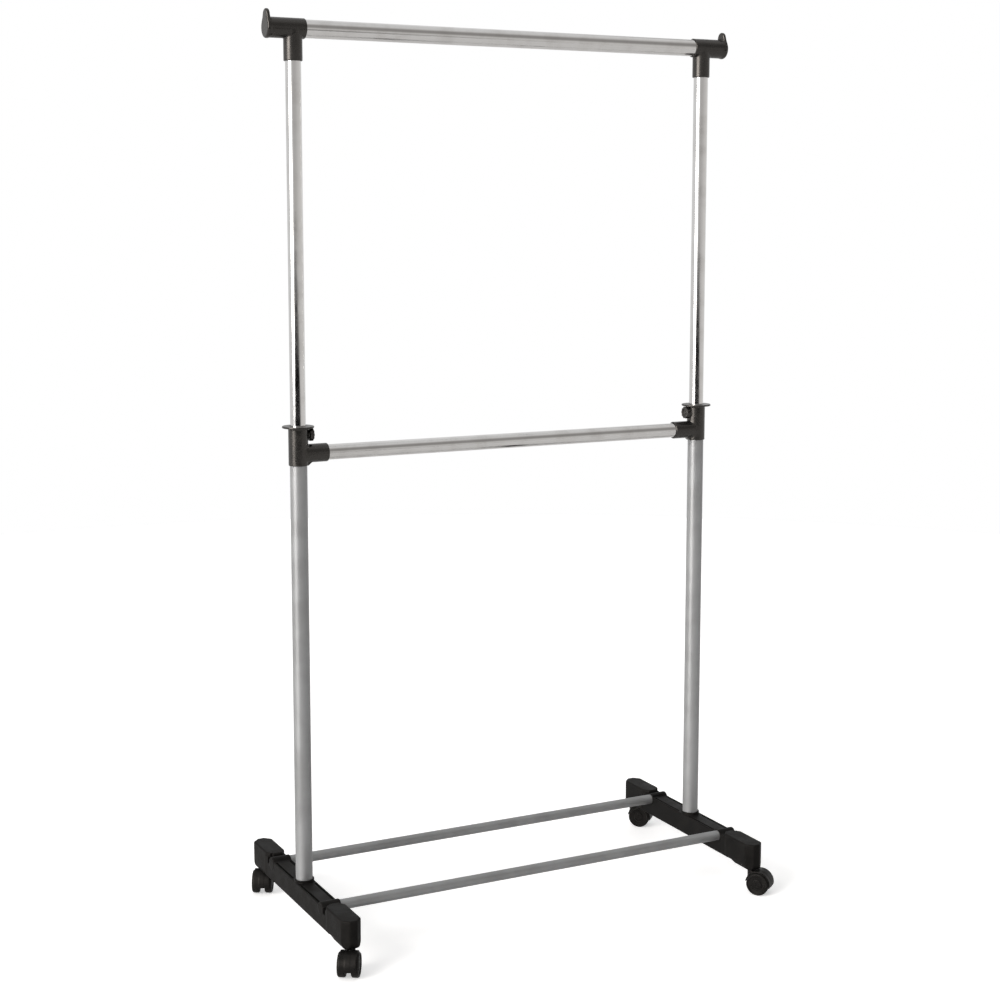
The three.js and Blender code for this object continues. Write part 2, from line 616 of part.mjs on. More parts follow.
function topConnectorGeometry() {
  const plateInner = -TEE_PLATE_FACE + TEE_PLATE_THICKNESS;
  const barrel = solid(alongX(turned([
    [0, plateInner - 1], [TEE_RADIUS, plateInner - 1], [TEE_RADIUS, TEE_INNER_END - 1.2],
    [TEE_RADIUS - 1, TEE_INNER_END], [0, TEE_INNER_END],
  ])));
  const plate = prismX(stopPlateShape(), -TEE_PLATE_FACE, plateInner);
  const fillet = prismY([
    [plateInner - 1, TEE_RADIUS - 3], [plateInner + 5, TEE_RADIUS - 3],
    [plateInner + 5, TEE_RADIUS - 0.6], [plateInner + 1.6, TEE_RADIUS + 0.6],
    [plateInner, TEE_RADIUS + 4], [plateInner - 1, TEE_RADIUS + 4],
  ], -6, 6);
  const socket = solid(turned([
    [0, TEE_SOCKET_BOTTOM], [TEE_SOCKET_RADIUS - 1.2, TEE_SOCKET_BOTTOM],
    [TEE_SOCKET_RADIUS, TEE_SOCKET_BOTTOM + 1.6], [TEE_SOCKET_RADIUS, TOP_RAIL_HEIGHT],
    [0, TOP_RAIL_HEIGHT],
  ]));
  const raised = [0, 0, TOP_RAIL_HEIGHT];
  const railSocket = rodX(TOP_RAIL_RADIUS + GAP, -TEE_BARREL_FLOOR, TEE_INNER_END + 1)
    .translate(raised);
  const postSocket = rodZ(UPPER_POST_RADIUS + GAP, TEE_SOCKET_BOTTOM - 1, TEE_SOCKET_TOP);
  const body = joined(socket, joined(barrel, plate, fillet).translate(raised));
  return geometryOf(cutBy(body, railSocket, postSocket));
}

// ---------------------------------------------------------------- the rack

for (const side of SIDES) {
  const group = sideGroup(side);
  piece(group, `${side.name}_foot`, footGeometry(), blackPlastic());
  piece(group, `${side.name}_post_plug`, postPlugGeometry(), nylon());
  piece(group, `${side.name}_post_bolt`, postBoltGeometry(), steel());
  for (const [end, y] of [['front', -SHOE_RAIL_SETBACK], ['back', SHOE_RAIL_SETBACK]]) {
    const screw = piece(rack, `${end}_${side.name}_rail_screw`, railScrewGeometry(), steel());
    screw.position.set(side.sign * POST_SPREAD, y, 0);
  }
  piece(group, `${side.name}_lower_post`, lowerPostGeometry(), greyPaint());
  piece(group, `${side.name}_collar`, collarGeometry(), blackPlastic());
  piece(group, `${side.name}_clamp_nut`, clampNutGeometry(), steel());
  piece(group, `${side.name}_clamp_stud`, clampStudGeometry(), steel());
  piece(group, `${side.name}_clamp_knob`, clampKnobGeometry(), blackPlastic());
  piece(group, `${side.name}_upper_post`, upperPostGeometry(), chrome());
  piece(group, `${side.name}_guide_bush`, guideBushGeometry(), nylon());
  piece(group, `${side.name}_top_connector`, topConnectorGeometry(), blackPlastic());
}

CASTORS.forEach(addCastor);

const frontShoeRail = piece(rack, 'front_shoe_rail', shoeRailGeometry(), greyPaint());
frontShoeRail.position.set(0, -SHOE_RAIL_SETBACK, SHOE_RAIL_HEIGHT);
const backShoeRail = piece(rack, 'back_shoe_rail', shoeRailGeometry(), greyPaint());
backShoeRail.position.set(0, SHOE_RAIL_SETBACK, SHOE_RAIL_HEIGHT);

const midRailReach = POST_SPREAD - ARM_STOP - GAP;
const midRailTube = railGeometry(MID_RAIL_RADIUS, MID_RAIL_BORE, midRailReach);
const midRail = piece(rack, 'mid_rail', midRailTube, chrome());
midRail.position.z = MID_RAIL_HEIGHT;

const topRailReach = POST_SPREAD + TEE_BARREL_FLOOR - GAP;
const topRailTube = railGeometry(TOP_RAIL_RADIUS, TOP_RAIL_BORE, topRailReach);
const topRail = piece(rack, 'top_rail', topRailTube, chrome());
topRail.position.z = TOP_RAIL_HEIGHT;

export default rack;
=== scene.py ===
import math

import bpy
import numpy as np
from mathutils import Matrix, Vector


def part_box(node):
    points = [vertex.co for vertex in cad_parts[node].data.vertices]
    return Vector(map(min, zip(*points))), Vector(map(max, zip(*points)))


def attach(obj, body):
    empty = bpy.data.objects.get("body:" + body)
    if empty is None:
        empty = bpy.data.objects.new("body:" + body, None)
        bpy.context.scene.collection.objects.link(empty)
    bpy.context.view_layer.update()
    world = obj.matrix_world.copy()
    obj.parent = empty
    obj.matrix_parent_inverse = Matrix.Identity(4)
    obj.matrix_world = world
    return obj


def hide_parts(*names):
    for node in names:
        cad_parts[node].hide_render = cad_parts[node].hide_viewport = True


# The finished look of a rolling clothes rack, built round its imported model.
# Shapes are drawn in millimetres in the drawing of one side, where the post axis is the Z axis and
# the rack's middle lies on +X, and are then placed for the left or the right side in metres.

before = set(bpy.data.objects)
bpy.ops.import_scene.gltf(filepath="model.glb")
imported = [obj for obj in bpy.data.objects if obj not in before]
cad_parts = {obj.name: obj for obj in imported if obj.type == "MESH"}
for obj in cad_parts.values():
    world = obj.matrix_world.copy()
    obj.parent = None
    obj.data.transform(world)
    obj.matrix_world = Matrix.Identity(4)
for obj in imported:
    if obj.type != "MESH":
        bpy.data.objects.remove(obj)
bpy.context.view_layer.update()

METRE = 1000.0
FULL_TURN = 2 * math.pi
HALF_TURN = math.pi
QUARTER_TURN = math.pi / 2
ALONG_X = Vector((1, 0, 0))
SIDES = ("left", "right")
ENDS = (("front", -1), ("back", 1))  # with the sign of Y there


# ---------------------------------------------------------------- sizes read from the frame

def corners(node):
    """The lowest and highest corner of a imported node, in millimetres."""
    low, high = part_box(node)
    return low * METRE, high * METRE


def centre(node):
    """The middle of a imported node, in millimetres."""
    low, high = corners(node)
    return (low + high) / 2


def reach(node):
    """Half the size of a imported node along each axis, in millimetres."""
    low, high = corners(node)
    return (high - low) / 2


POST_SPREAD = centre("right_lower_post").x
LOWER_POST_RADIUS = reach("left_lower_post").x
LOWER_POST_TOP = corners("left_lower_post")[1].z
UPPER_POST_RADIUS = reach("left_upper_post").x
TOP_RAIL_RADIUS = reach("top_rail").z
TOP_RAIL_HEIGHT = centre("top_rail").z
MID_RAIL_RADIUS = reach("mid_rail").z
MID_RAIL_HEIGHT = centre("mid_rail").z
SHOE_RAIL_RADIUS = reach("front_shoe_rail").z
SHOE_RAIL_HEIGHT = centre("front_shoe_rail").z
SHOE_RAIL_SETBACK = centre("back_shoe_rail").y
FOOT_LOW, FOOT_HIGH = corners("left_foot")
COLLAR_LOW, COLLAR_HIGH = corners("left_collar")
TEE_LOW, TEE_HIGH = corners("left_top_connector")
CASTOR_SETBACK = centre("back_left_castor_stem").y
STEM_TOP = corners("back_left_castor_stem")[1].z
AXLE_HEIGHT = centre("front_left_castor_axle").z
WHEEL_RADIUS = reach("front_left_wheel_a").z
CLAMP_HEIGHT = centre("left_clamp_stud").z

PLAY = 0.3  # clearance between pieces that touch
TUBE_WALL = 1.0
STEM_RADIUS = 4.0  # of a castor's pin, where it sits in the foot
STUD_ROOM_RADIUS = 2.5  # of the holes that the clamp stud runs in

# Mesh pitches: how far apart a moulded shape is sampled.
COARSE = 1.2  # feet
FINE = 0.7  # collars and top connectors
HOOD_PITCH = FINE * 0.85
KNOB_PITCH = FINE * 0.75
BOLT_PITCH = 0.45
SCREW_PITCH = BOLT_PITCH * 0.7
NUT_PITCH = 0.3


# ---------------------------------------------------------------- signed distances

def meet(first, second, radius=0.0):
    """Where both fields are solid, with the edge between them rounded."""
    if radius == 0:
        return np.maximum(first, second)
    outside = np.hypot(np.maximum(first + radius, 0), np.maximum(second + radius, 0))
    return np.minimum(-radius, np.maximum(first, second)) + outside


def merge(first, second, radius=0.0):
    """Where either field is solid, with a fillet between them."""
    return -meet(-first, -second, radius)


def cut(body, tool, radius=0.0):
    """The body without the tool, with the new edge rounded."""
    return meet(body, -tool, radius)


def slab(value, low, high):
    """The layer from low to high."""
    return np.abs(value - (low + high) / 2) - (high - low) / 2


def block(point, low, high, radius=0.0):
    """A box from its low to its high corner, with every edge rounded."""
    x, y, z = (slab(value, a, b) for value, a, b in zip(point, low, high))
    return meet(meet(x, y, radius), z, radius)


def drum(across, along, radius, low, high, edge=0.0):
    """A cylinder: across is the distance from its axis, along the place on its axis."""
    return meet(across - radius, slab(along, low, high), edge)


def slope(a, b, through, normal):
    """The side of a line in the (a, b) plane that its normal points away from is solid."""
    length = math.hypot(*normal)
    return ((a - through[0]) * normal[0] + (b - through[1]) * normal[1]) / length


# ---------------------------------------------------------------- surfaces

NET_MARGIN = 1.7  # pitches of empty space round a shape
SETTLING_ROUNDS = 4
SETTLING_PROBE = 0.02  # step for the slope that draws a point in
SHADING_PROBE = 0.15  # step for the slope that shades
SETTLING_SHARE = 3  # a point moves by at most the pitch over this
LEAST_SLOPE_SQUARED = 0.25
NEARLY_ZERO = 1e-6


def net(field, low, high, pitch):
    """The closed surface where field((x, y, z)) is zero, as (vertices, faces, normals). Each cell
    that the surface passes through gets one vertex, and each grid edge that it crosses one face."""
    margin = NET_MARGIN * pitch
    low = np.asarray(low, float) - margin
    counts = np.ceil((np.asarray(high, float) + margin - low) / pitch).astype(int) + 1
    axes = [start + pitch * np.arange(count) for start, count in zip(low, counts)]
    value = field(np.meshgrid(*axes, indexing="ij", sparse=True))
    value = np.broadcast_to(value, tuple(counts))
    inside = value < 0
    cells = tuple(counts - 1)
    total = np.zeros(cells + (3,))
    hits = np.zeros(cells)
    crossings = []
    for axis in range(3):
        near = np.take(value, range(counts[axis] - 1), axis)
        far = np.take(value, range(1, counts[axis]), axis)
        crossing = (near < 0) != (far < 0)
        share = np.where(crossing, near / np.where(crossing, near - far, 1), 0)
        crossings.append(crossing)
        b, c = (axis + 1) % 3, (axis + 2) % 3
        for step_b in (0, 1):
            for step_c in (0, 1):
                window = [slice(None)] * 3
                window[b] = slice(step_b, step_b + cells[b])
                window[c] = slice(step_c, step_c + cells[c])
                found = crossing[tuple(window)]
                hits += found
                total[..., axis] += share[tuple(window)]
                total[..., b] += found * step_b
                total[..., c] += found * step_c
    used = hits > 0
    number = np.full(cells, -1)
    number[used] = np.arange(used.sum())
    points = low + pitch * (np.argwhere(used) + total[used] / hits[used][:, None])
    steps = np.eye(3, dtype=int)
    faces = []
    for axis in range(3):
        b, c = (axis + 1) % 3, (axis + 2) % 3
        edges = np.argwhere(crossings[axis])
        ring = [edges - steps[b] - steps[c], edges - steps[c], edges, edges - steps[b]]
        quads = np.stack([number[tuple(cell.T)] for cell in ring], 1)
        outward = inside[tuple(edges.T)]
        quads[~outward] = quads[~outward][:, ::-1]
        faces.append(quads)
    points, normals = settled(field, points, pitch)
    return points, np.concatenate(faces), normals


def settled(field, points, pitch):
    """Points drawn onto the field's zero, and the field's unit slope there."""
    limit = pitch / SETTLING_SHARE
    for _ in range(SETTLING_ROUNDS):
        value = field(tuple(points.T))
        grade = gradient(field, points, SETTLING_PROBE)
        size = np.maximum((grade ** 2).sum(1), LEAST_SLOPE_SQUARED)
        move = -(value / size)[:, None] * grade
        points = points + np.clip(move, -limit, limit)
    grade = gradient(field, points, SHADING_PROBE)
    length = np.maximum(np.linalg.norm(grade, axis=1), NEARLY_ZERO)
    return points, grade / length[:, None]


def gradient(field, points, probe):
    """The field's slope along each axis, from a step of probe both ways."""
    grade = np.empty_like(points)
    for axis in range(3):
        shift = np.zeros(3)
        shift[axis] = probe
        ahead = field(tuple((points + shift).T))
        behind = field(tuple((points - shift).T))
        grade[:, axis] = (ahead - behind) / (2 * probe)
    return grade


def eased(corners_in, closed, facets=5, support=0.12):
    """An outline through (a, b, radius) corners, with arcs at the corners and a support point on
    each side of an arc, so that flat stretches shade flat."""
    outline = []
    count = len(corners_in)
    for index, (a, b, radius) in enumerate(corners_in):
        here = Vector((a, b))
        if radius == 0 or (not closed and index in (0, count - 1)):
            outline.append(here)
            continue
        back = (Vector(corners_in[index - 1][:2]) - here).normalized()
        ahead = (Vector(corners_in[(index + 1) % count][:2]) - here).normalized()
        angle = back.angle(ahead)
        run = radius / math.tan(angle / 2)
        middle = here + (back + ahead).normalized() * (radius / math.sin(angle / 2))
        start = here + back * run - middle
        end = here + ahead * run - middle
        outline.append(here + back * (run + support))
        sweep = start.angle_signed(end)
        for step in range(facets + 1):
            spoke = start.copy()
            spoke.rotate(Matrix.Rotation(-sweep * step / facets, 2))
            outline.append(middle + spoke)
        outline.append(here + ahead * (run + support))
    return outline


def turned(outline, closed, segments=96):
    """A surface of revolution about Z from (radius, height) points, as (vertices, faces, None)."""
    points, rings, faces = [], [], []
    for radius, height in outline:
        if radius < NEARLY_ZERO:
            rings.append([len(points)] * segments)
            points.append((0.0, 0.0, height))
            continue
        rings.append(list(range(len(points), len(points) + segments)))
        for step in range(segments):
            angle = FULL_TURN * step / segments
            points.append((radius * math.cos(angle), radius * math.sin(angle), height))
    pairs = list(zip(rings, rings[1:]))
    if closed:
        pairs.append((rings[-1], rings[0]))
    for lower, upper in pairs:
        for step in range(segments):
            after = (step + 1) % segments
            ring = [lower[step], lower[after], upper[after], upper[step]]
            face = list(dict.fromkeys(ring))
            if len(face) > 2:
                faces.append(face)
    return np.array(points), faces, None


def rod(outline, segments, support=0.12):
    """A solid of revolution about Z, from an outline that starts and ends on the axis."""
    return turned(eased(outline, closed=False, support=support), closed=False, segments=segments)


def tube(outer, wall, low, high, edge=0.22):
    """A tube along Z with eased rims."""
    inner = outer - wall
    rims = [(outer, low, edge), (outer, high, edge), (inner, high, edge), (inner, low, edge)]
    return turned(eased(rims, closed=True), closed=True)


# ---------------------------------------------------------------- placing

def side_place(side):
    """The drawing of one side, put at its post."""
    spin = Matrix.Rotation(HALF_TURN if side == "right" else 0, 4, "Z")
    offset = POST_SPREAD if side == "right" else -POST_SPREAD
    return Matrix.Translation((offset, 0, 0)) @ spin


def aimed(point, direction):
    """A drawing's +Z turned to a direction, with its origin at a point."""
    return Matrix.Translation(point) @ direction.to_track_quat("Z", "Y").to_matrix().to_4x4()


def add(name, surface, place, finish, body, node=None):
    """A finished piece that rides on a body and stands for a node: its own name's, unless told."""
    points, faces, normals = surface
    turn = np.array(place.to_3x3())
    shift = np.array(place.translation)
    points = (points @ turn.T + shift) / METRE
    mesh = bpy.data.meshes.new(name)
    mesh.from_pydata(points.tolist(), [], [list(map(int, face)) for face in faces])
    mesh.validate()
    mesh.polygons.foreach_set("use_smooth", np.ones(len(mesh.polygons), bool))
    if normals is not None:
        mesh.normals_split_custom_set_from_vertices((normals @ turn.T).tolist())
    material, slot = finish
    mesh.materials.append(material)
    piece = bpy.data.objects.new(f"{name}_finished", mesh)
    bpy.context.scene.collection.objects.link(piece)
    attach(piece, body)
    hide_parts(node or name)


# ---------------------------------------------------------------- node helpers

def node(tree, kind, inputs=None, **settings):
    """A shader node with its settings, and its inputs given as values or as other nodes' sockets."""
    made = tree.nodes.new("ShaderNode" + kind)
    for key, value in settings.items():
        setattr(made, key, value)
    for key, value in (inputs or {}).items():
        socket = made.inputs[key]
        if isinstance(value, bpy.types.NodeSocket):
            tree.links.new(value, socket)
        else:
            socket.default_value = value
    return made


def sums(tree, operation, first, second=0.0):
    """One step of arithmetic."""
    return node(tree, "Math", {0: first, 1: second}, operation=operation).outputs[0]


def ranged(tree, value, low, high, to_low=0.0, to_high=1.0):
    """The value moved from one range to another, smoothly and clamped."""
    inputs = {"Value": value, 1: low, 2: high, 3: to_low, 4: to_high}
    return node(tree, "MapRange", inputs, interpolation_type="SMOOTHSTEP").outputs[0]


def tinted(tree, factor, first, second):
    """Between two colours. The Mix node's colours are its inputs 6 and 7 and its output 2."""
    inputs = {0: factor, 6: first, 7: second}
    return node(tree, "Mix", inputs, data_type="RGBA").outputs[2]


def noise(tree, where, scale, detail=2.0, roughness=0.5):
    inputs = {"Vector": where, "Scale": scale, "Detail": detail, "Roughness": roughness}
    return node(tree, "TexNoise", inputs).outputs["Fac"]


def stretched(tree, where, scale):
    """Coordinates scaled along each axis; a small scale draws a pattern out along that axis."""
    return node(tree, "Mapping", {"Vector": where, "Scale": scale}).outputs[0]


def grey(level, warmth=0.0):
    """A linear colour; warmth lifts red and lowers blue."""
    return (level * (1 + warmth), level, level * (1 - warmth), 1.0)


def started(name):
    """A new material, its tree, its shader and the pieces' own coordinates in metres."""
    material = bpy.data.materials.new(name)
    material.use_nodes = True
    tree = material.node_tree
    tree.nodes.clear()
    shader = node(tree, "BsdfPrincipled")
    output = node(tree, "OutputMaterial")
    tree.links.new(shader.outputs[0], output.inputs[0])
    where = node(tree, "TexCoord").outputs["Object"]
    return material, tree, shader, where


def bumped(tree, shader, height, strength, distance, under=None):
    """A bump on the shader, on top of another bump if one is given. The distance is in metres."""
    inputs = {"Height": height, "Strength": strength, "Distance": distance}
    if under is not None:
        inputs["Normal"] = under
    bump = node(tree, "Bump", inputs)
    tree.links.new(bump.outputs[0], shader.inputs["Normal"])
    return bump.outputs[0]


# ---------------------------------------------------------------- finishes

PLASTIC_GLOSS_TINT = (1.0, 0.94, 0.88, 1.0)
CHROME = grey(0.84, warmth=0.012)
CHROME_HAZED = grey(0.74, warmth=0.02)
ZINC = grey(0.5, warmth=-0.02)
ZINC_YELLOWED = grey(0.62, warmth=0.05)
NYLON = grey(0.68, warmth=0.03)
NYLON_MILKY = grey(0.76, warmth=0.05)


def moulded(name, dark, light, smooth, rough, shine):
    """Moulded plastic: cloudy charcoal with paler specks, edges made paler as wear and as a painted
    highlight, and a fine moulded grain.
    """
    material, tree, shader, where = started(name)
    cloud = noise(tree, where, scale=38, detail=3)
    speck = noise(tree, where, scale=420, detail=3, roughness=0.65)
    grain = noise(tree, where, scale=2300)
    clouded = ranged(tree, cloud, 0.35, 0.68)
    base = tinted(tree, clouded, grey(dark, warmth=0.02), grey(light, warmth=0.05))
    specked = ranged(tree, speck, 0.56, 0.78, to_high=0.55)
    base = tinted(tree, specked, base, grey(light * 2.1, warmth=0.06))
    # Convex edges turn paler: partly wear from handling, partly a painted highlight where edges catch
    # the light.
    edge = node(tree, "NewGeometry").outputs["Pointiness"]
    rubbed_and_highlit = ranged(tree, edge, 0.51, 0.62, to_high=0.4)
    base = tinted(tree, rubbed_and_highlit, base, grey(light * 2.0, warmth=0.04))
    tree.links.new(base, shader.inputs["Base Color"])
    cloud_share = sums(tree, "MULTIPLY", cloud, 0.6)
    speck_share = sums(tree, "MULTIPLY", speck, 0.4)
    patchy = sums(tree, "ADD", cloud_share, speck_share)
    tree.links.new(ranged(tree, patchy, 0.38, 0.62, smooth, rough), shader.inputs["Roughness"])
    low = bumped(tree, shader, cloud, strength=0.2, distance=0.0004)
    bumped(tree, shader, grain, strength=0.22, distance=0.0001, under=low)
    shader.inputs["Specular IOR Level"].default_value = shine
    shader.inputs["Specular Tint"].default_value = PLASTIC_GLOSS_TINT
    return material


def powder_coat(name, level):
    """Satin silver-grey paint with a faint orange peel and metallic flecks."""
    material, tree, shader, where = started(name)
    cloud = noise(tree, where, scale=22, detail=3)
    fleck = noise(tree, where, scale=3200)
    peel = noise(tree, where, scale=520)
    clouded = ranged(tree, cloud, 0.3, 0.7)
    base = tinted(tree, clouded, grey(level, warmth=-0.01), grey(level * 1.17, warmth=-0.015))
    flecked = ranged(tree, fleck, 0.6, 0.8, to_high=0.5)
    base = tinted(tree, flecked, base, grey(level * 1.65))
    tree.links.new(base, shader.inputs["Base Color"])
    roughness = ranged(tree, cloud, 0.3, 0.7, to_low=0.33, to_high=0.43)
    tree.links.new(roughness, shader.inputs["Roughness"])
    shader.inputs["Metallic"].default_value = 0.55
    low = bumped(tree, shader, peel, strength=0.2, distance=0.0001)
    bumped(tree, shader, fleck, strength=0.1, distance=0.00005, under=low)
    return material


def plated(name, along):
    """Bright chrome on drawn tube: faint draw lines and ripples along the tube, and handling haze."""
    material, tree, shader, where = started(name)

    def drawn_out(scale):
        return stretched(tree, where, tuple(scale if axis == along else 1.0 for axis in "XYZ"))

    draw = noise(tree, drawn_out(0.02), scale=700, detail=3)
    ripple = noise(tree, drawn_out(0.3), scale=30)
    haze = noise(tree, where, scale=26, detail=4, roughness=0.6)
    base = tinted(tree, ranged(tree, haze, 0.4, 0.75), CHROME, CHROME_HAZED)
    tree.links.new(base, shader.inputs["Base Color"])
    roughness = ranged(tree, haze, 0.35, 0.75, to_low=0.07, to_high=0.16)
    tree.links.new(roughness, shader.inputs["Roughness"])
    shader.inputs["Metallic"].default_value = 1.0
    low = bumped(tree, shader, ripple, strength=0.03, distance=0.0001)
    bumped(tree, shader, draw, strength=0.03, distance=0.00003, under=low)
    return material


def zinc():
    """Zinc-plated steel hardware with a mottled, slightly yellowed passivation."""
    material, tree, shader, where = started("zinc_steel")
    mottle = noise(tree, where, scale=260, detail=4, roughness=0.6)
    brushed = noise(tree, stretched(tree, where, (1.0, 1.0, 0.1)), scale=1800)
    base = tinted(tree, ranged(tree, mottle, 0.35, 0.7), ZINC, ZINC_YELLOWED)
    tree.links.new(base, shader.inputs["Base Color"])
    roughness = ranged(tree, mottle, 0.3, 0.7, to_low=0.28, to_high=0.45)
    tree.links.new(roughness, shader.inputs["Roughness"])
    shader.inputs["Metallic"].default_value = 1.0
    bumped(tree, shader, brushed, strength=0.2, distance=0.00005)
    return material


def natural_nylon():
    """Milky nylon with flow marks."""
    material, tree, shader, where = started("natural_nylon")
    flow = noise(tree, stretched(tree, where, (1.0, 1.0, 0.3)), scale=150, detail=3)
    grain = noise(tree, where, scale=1500)
    base = tinted(tree, ranged(tree, flow, 0.3, 0.7), NYLON, NYLON_MILKY)
    tree.links.new(base, shader.inputs["Base Color"])
    roughness = ranged(tree, flow, 0.3, 0.7, to_low=0.42, to_high=0.56)
    tree.links.new(roughness, shader.inputs["Roughness"])
    bumped(tree, shader, grain, strength=0.2, distance=0.00008)
    return material


# Each finish is a material and its slot.
FOOT_FINISH = (
    moulded("foot_plastic", dark=0.005, light=0.010, smooth=0.42, rough=0.58, shine=0.09),
    "black_plastic",
)
FITTING_FINISH = (
    moulded("fitting_plastic", dark=0.009, light=0.014, smooth=0.22, rough=0.32, shine=0.75),
    "black_plastic",
)
WHEEL_FINISH = (
    moulded("wheel_plastic", dark=0.005, light=0.009, smooth=0.26, rough=0.42, shine=0.20),
    "wheel_plastic",
)
POST_PAINT_FINISH = (powder_coat("satin_grey_paint", level=0.325), "grey_paint")
# The shoe rails get a darker copy of the posts' paint: painted shade, standing in for the less light
# they take.
RAIL_PAINT_SHADED_FINISH = (powder_coat("satin_grey_paint_painted_shade", level=0.28), "grey_paint")
CHROME_POST_FINISH = (plated("chrome_upright", "Z"), "chrome")
CHROME_RAIL_FINISH = (plated("chrome_rail", "X"), "chrome")
STEEL_FINISH = (zinc(), "steel")
NYLON_FINISH = (natural_nylon(), "nylon")


# ---------------------------------------------------------------- feet

FOOT_HALF_WIDTH = reach("left_foot").x  # at the end blocks
BEAM_HALF_WIDTH = 16.5
BEAM_HALF_LENGTH = 150.0
BEAM_BOTTOM = 47.6
BEAM_TOP = 83.0
BLOCK_START = 128.0
NOSE_CHAMFER = 11.0
SHOULDER_START = 9.0  # |x| from which the block's inner end slants
SHOULDER_NORMAL = (12, -8)
HEEL_START = 157.0  # the block's underside is level with the beam's up to here
HEEL_END = 168.0  # and at its full depth from here
BLOCK_TAPER = 9.0  # height over which the bottom draws in
NOSE_DRAW = 3.5  # by this much at the nose
FLANK_DRAW = 4.0  # and by this much at the sides
RAIL_BOSS_RADIUS = 10.4
RAIL_SOCKET_END = 8.0
RAIL_SCREW_SEAT = 63.0
RAIL_SCREW_HOLE = 2.2
RAIL_SCREW_WELL = 4.0
RAIL_SCREW_PILLAR = 6.5
RAIL_SCREW_LAP = 6.0  # the hole runs from this far below its seat to this far below the rail's axis
POST_BOSS_RADIUS = 16.4  # raised ring round the post socket
POST_BOSS_TOP = 88.0
POST_SOCKET_FLOOR = 57.0
BOLT_SEAT = 51.5
BOLT_RADIUS = 3.0
BOLT_WELL_RADIUS = 7.0
STEM_ROOM = 0.5  # above a castor's pin
GROOVE_LOW = (10.8, 18, 74)  # as (|x|, |y|, z), like the pockets
GROOVE_HIGH = (14, 100, BEAM_TOP + 9)
BEAM_POCKET_LOW = (-13.2, 20, 20)
BEAM_POCKET_HIGH = (13.2, 99, 70)
BLOCK_POCKET_LOW = (-12.4, 130, 20)
BLOCK_POCKET_HIGH = (12.4, 188, 71)
NOTCH_LOW = (-30, 125, 73)  # in the outer top edge
NOTCH_HIGH = (-7.5, 133, 120)


def end_block(point):
    """The deep octagonal block that holds a castor, at both ends of a foot."""
    x, y, z = point
    side, end = np.abs(x), np.abs(y)
    half, nose = FOOT_HALF_WIDTH, FOOT_HIGH.y
    bottom, top = FOOT_LOW.z, FOOT_HIGH.z
    body = meet(side - half, slab(end, BLOCK_START, nose), radius=1.2)
    chamfer = slope(side, end, (half, nose - NOSE_CHAMFER), (1, 1))
    body = meet(body, chamfer, radius=1.6)
    body = meet(body, slope(side, end, (SHOULDER_START, BLOCK_START), SHOULDER_NORMAL), radius=1.6)
    taper = bottom + BLOCK_TAPER
    body = meet(body, slope(end, z, (nose, taper), (BLOCK_TAPER, -NOSE_DRAW)), radius=1.2)
    body = meet(body, slope(side, z, (half, taper), (BLOCK_TAPER, -FLANK_DRAW)), radius=1.2)
    body = meet(body, slab(z, bottom, top), radius=2.6)
    drop, run = BEAM_BOTTOM - bottom, HEEL_END - HEEL_START
    heel = slope(end, z, (HEEL_START, BEAM_BOTTOM), (drop, run))
    return cut(body, meet(heel, z - BEAM_BOTTOM, radius=1.0), radius=1.2)


def foot_field(point):
    """A foot: beam, rail bosses, end blocks and post ring, less its sockets, wells and pockets."""
    x, y, z = point
    end = np.abs(y)
    beam_low = (-BEAM_HALF_WIDTH, -BEAM_HALF_LENGTH, BEAM_BOTTOM)
    beam_high = (BEAM_HALF_WIDTH, BEAM_HALF_LENGTH, BEAM_TOP)
    beam = block(point, beam_low, beam_high, radius=1.5)
    from_rail = np.hypot(end - SHOE_RAIL_SETBACK, z - SHOE_RAIL_HEIGHT)
    boss = drum(from_rail, x, RAIL_BOSS_RADIUS, -BEAM_HALF_WIDTH, BEAM_HALF_WIDTH, edge=1.2)
    body = merge(merge(beam, boss, radius=1.5), end_block(point), radius=1.0)

    from_post = np.hypot(x, y)
    ring = drum(from_post, z, POST_BOSS_RADIUS, BEAM_TOP - 1, POST_BOSS_TOP, edge=0.8)
    body = merge(body, ring, radius=1.0)
    post_socket = meet(from_post - LOWER_POST_RADIUS - PLAY, POST_SOCKET_FLOOR - z)
    body = cut(body, post_socket, radius=0.5)
    body = cut(body, meet(from_post - BOLT_WELL_RADIUS, z - BOLT_SEAT), radius=0.5)
    bolt_hole = meet(from_post - BOLT_RADIUS - PLAY, z - POST_SOCKET_FLOOR - 1)
    body = cut(body, bolt_hole, radius=0.3)

    groove = block((np.abs(x), end, z), GROOVE_LOW, GROOVE_HIGH, radius=0.8)
    body = cut(body, groove, radius=0.6)
    notch = block((x, end, z), NOTCH_LOW, NOTCH_HIGH, radius=0.6)
    body = cut(body, notch, radius=0.5)

    rail_socket = meet(from_rail - SHOE_RAIL_RADIUS - PLAY, -RAIL_SOCKET_END - x, radius=0.3)
    body = cut(body, rail_socket, radius=0.7)
    from_screw = np.hypot(x, end - SHOE_RAIL_SETBACK)
    body = cut(body, meet(from_screw - RAIL_SCREW_WELL, z - RAIL_SCREW_SEAT), radius=0.4)
    hole = slab(z, RAIL_SCREW_SEAT - RAIL_SCREW_LAP, SHOE_RAIL_HEIGHT - RAIL_SCREW_LAP)
    body = cut(body, meet(from_screw - RAIL_SCREW_HOLE, hole))

    from_stem = np.hypot(x, end - CASTOR_SETBACK)
    stem_hole = meet(from_stem - STEM_RADIUS - PLAY, z - STEM_TOP - STEM_ROOM)
    body = cut(body, stem_hole, radius=0.4)
    pocket = block((x, end, z), BEAM_POCKET_LOW, BEAM_POCKET_HIGH, radius=1.5)
    pocket = cut(pocket, from_screw - RAIL_SCREW_PILLAR, radius=1.0)
    body = cut(body, pocket, radius=0.6)
    pocket = block((x, end, z), BLOCK_POCKET_LOW, BLOCK_POCKET_HIGH, radius=1.5)
    return cut(body, pocket, radius=0.6)


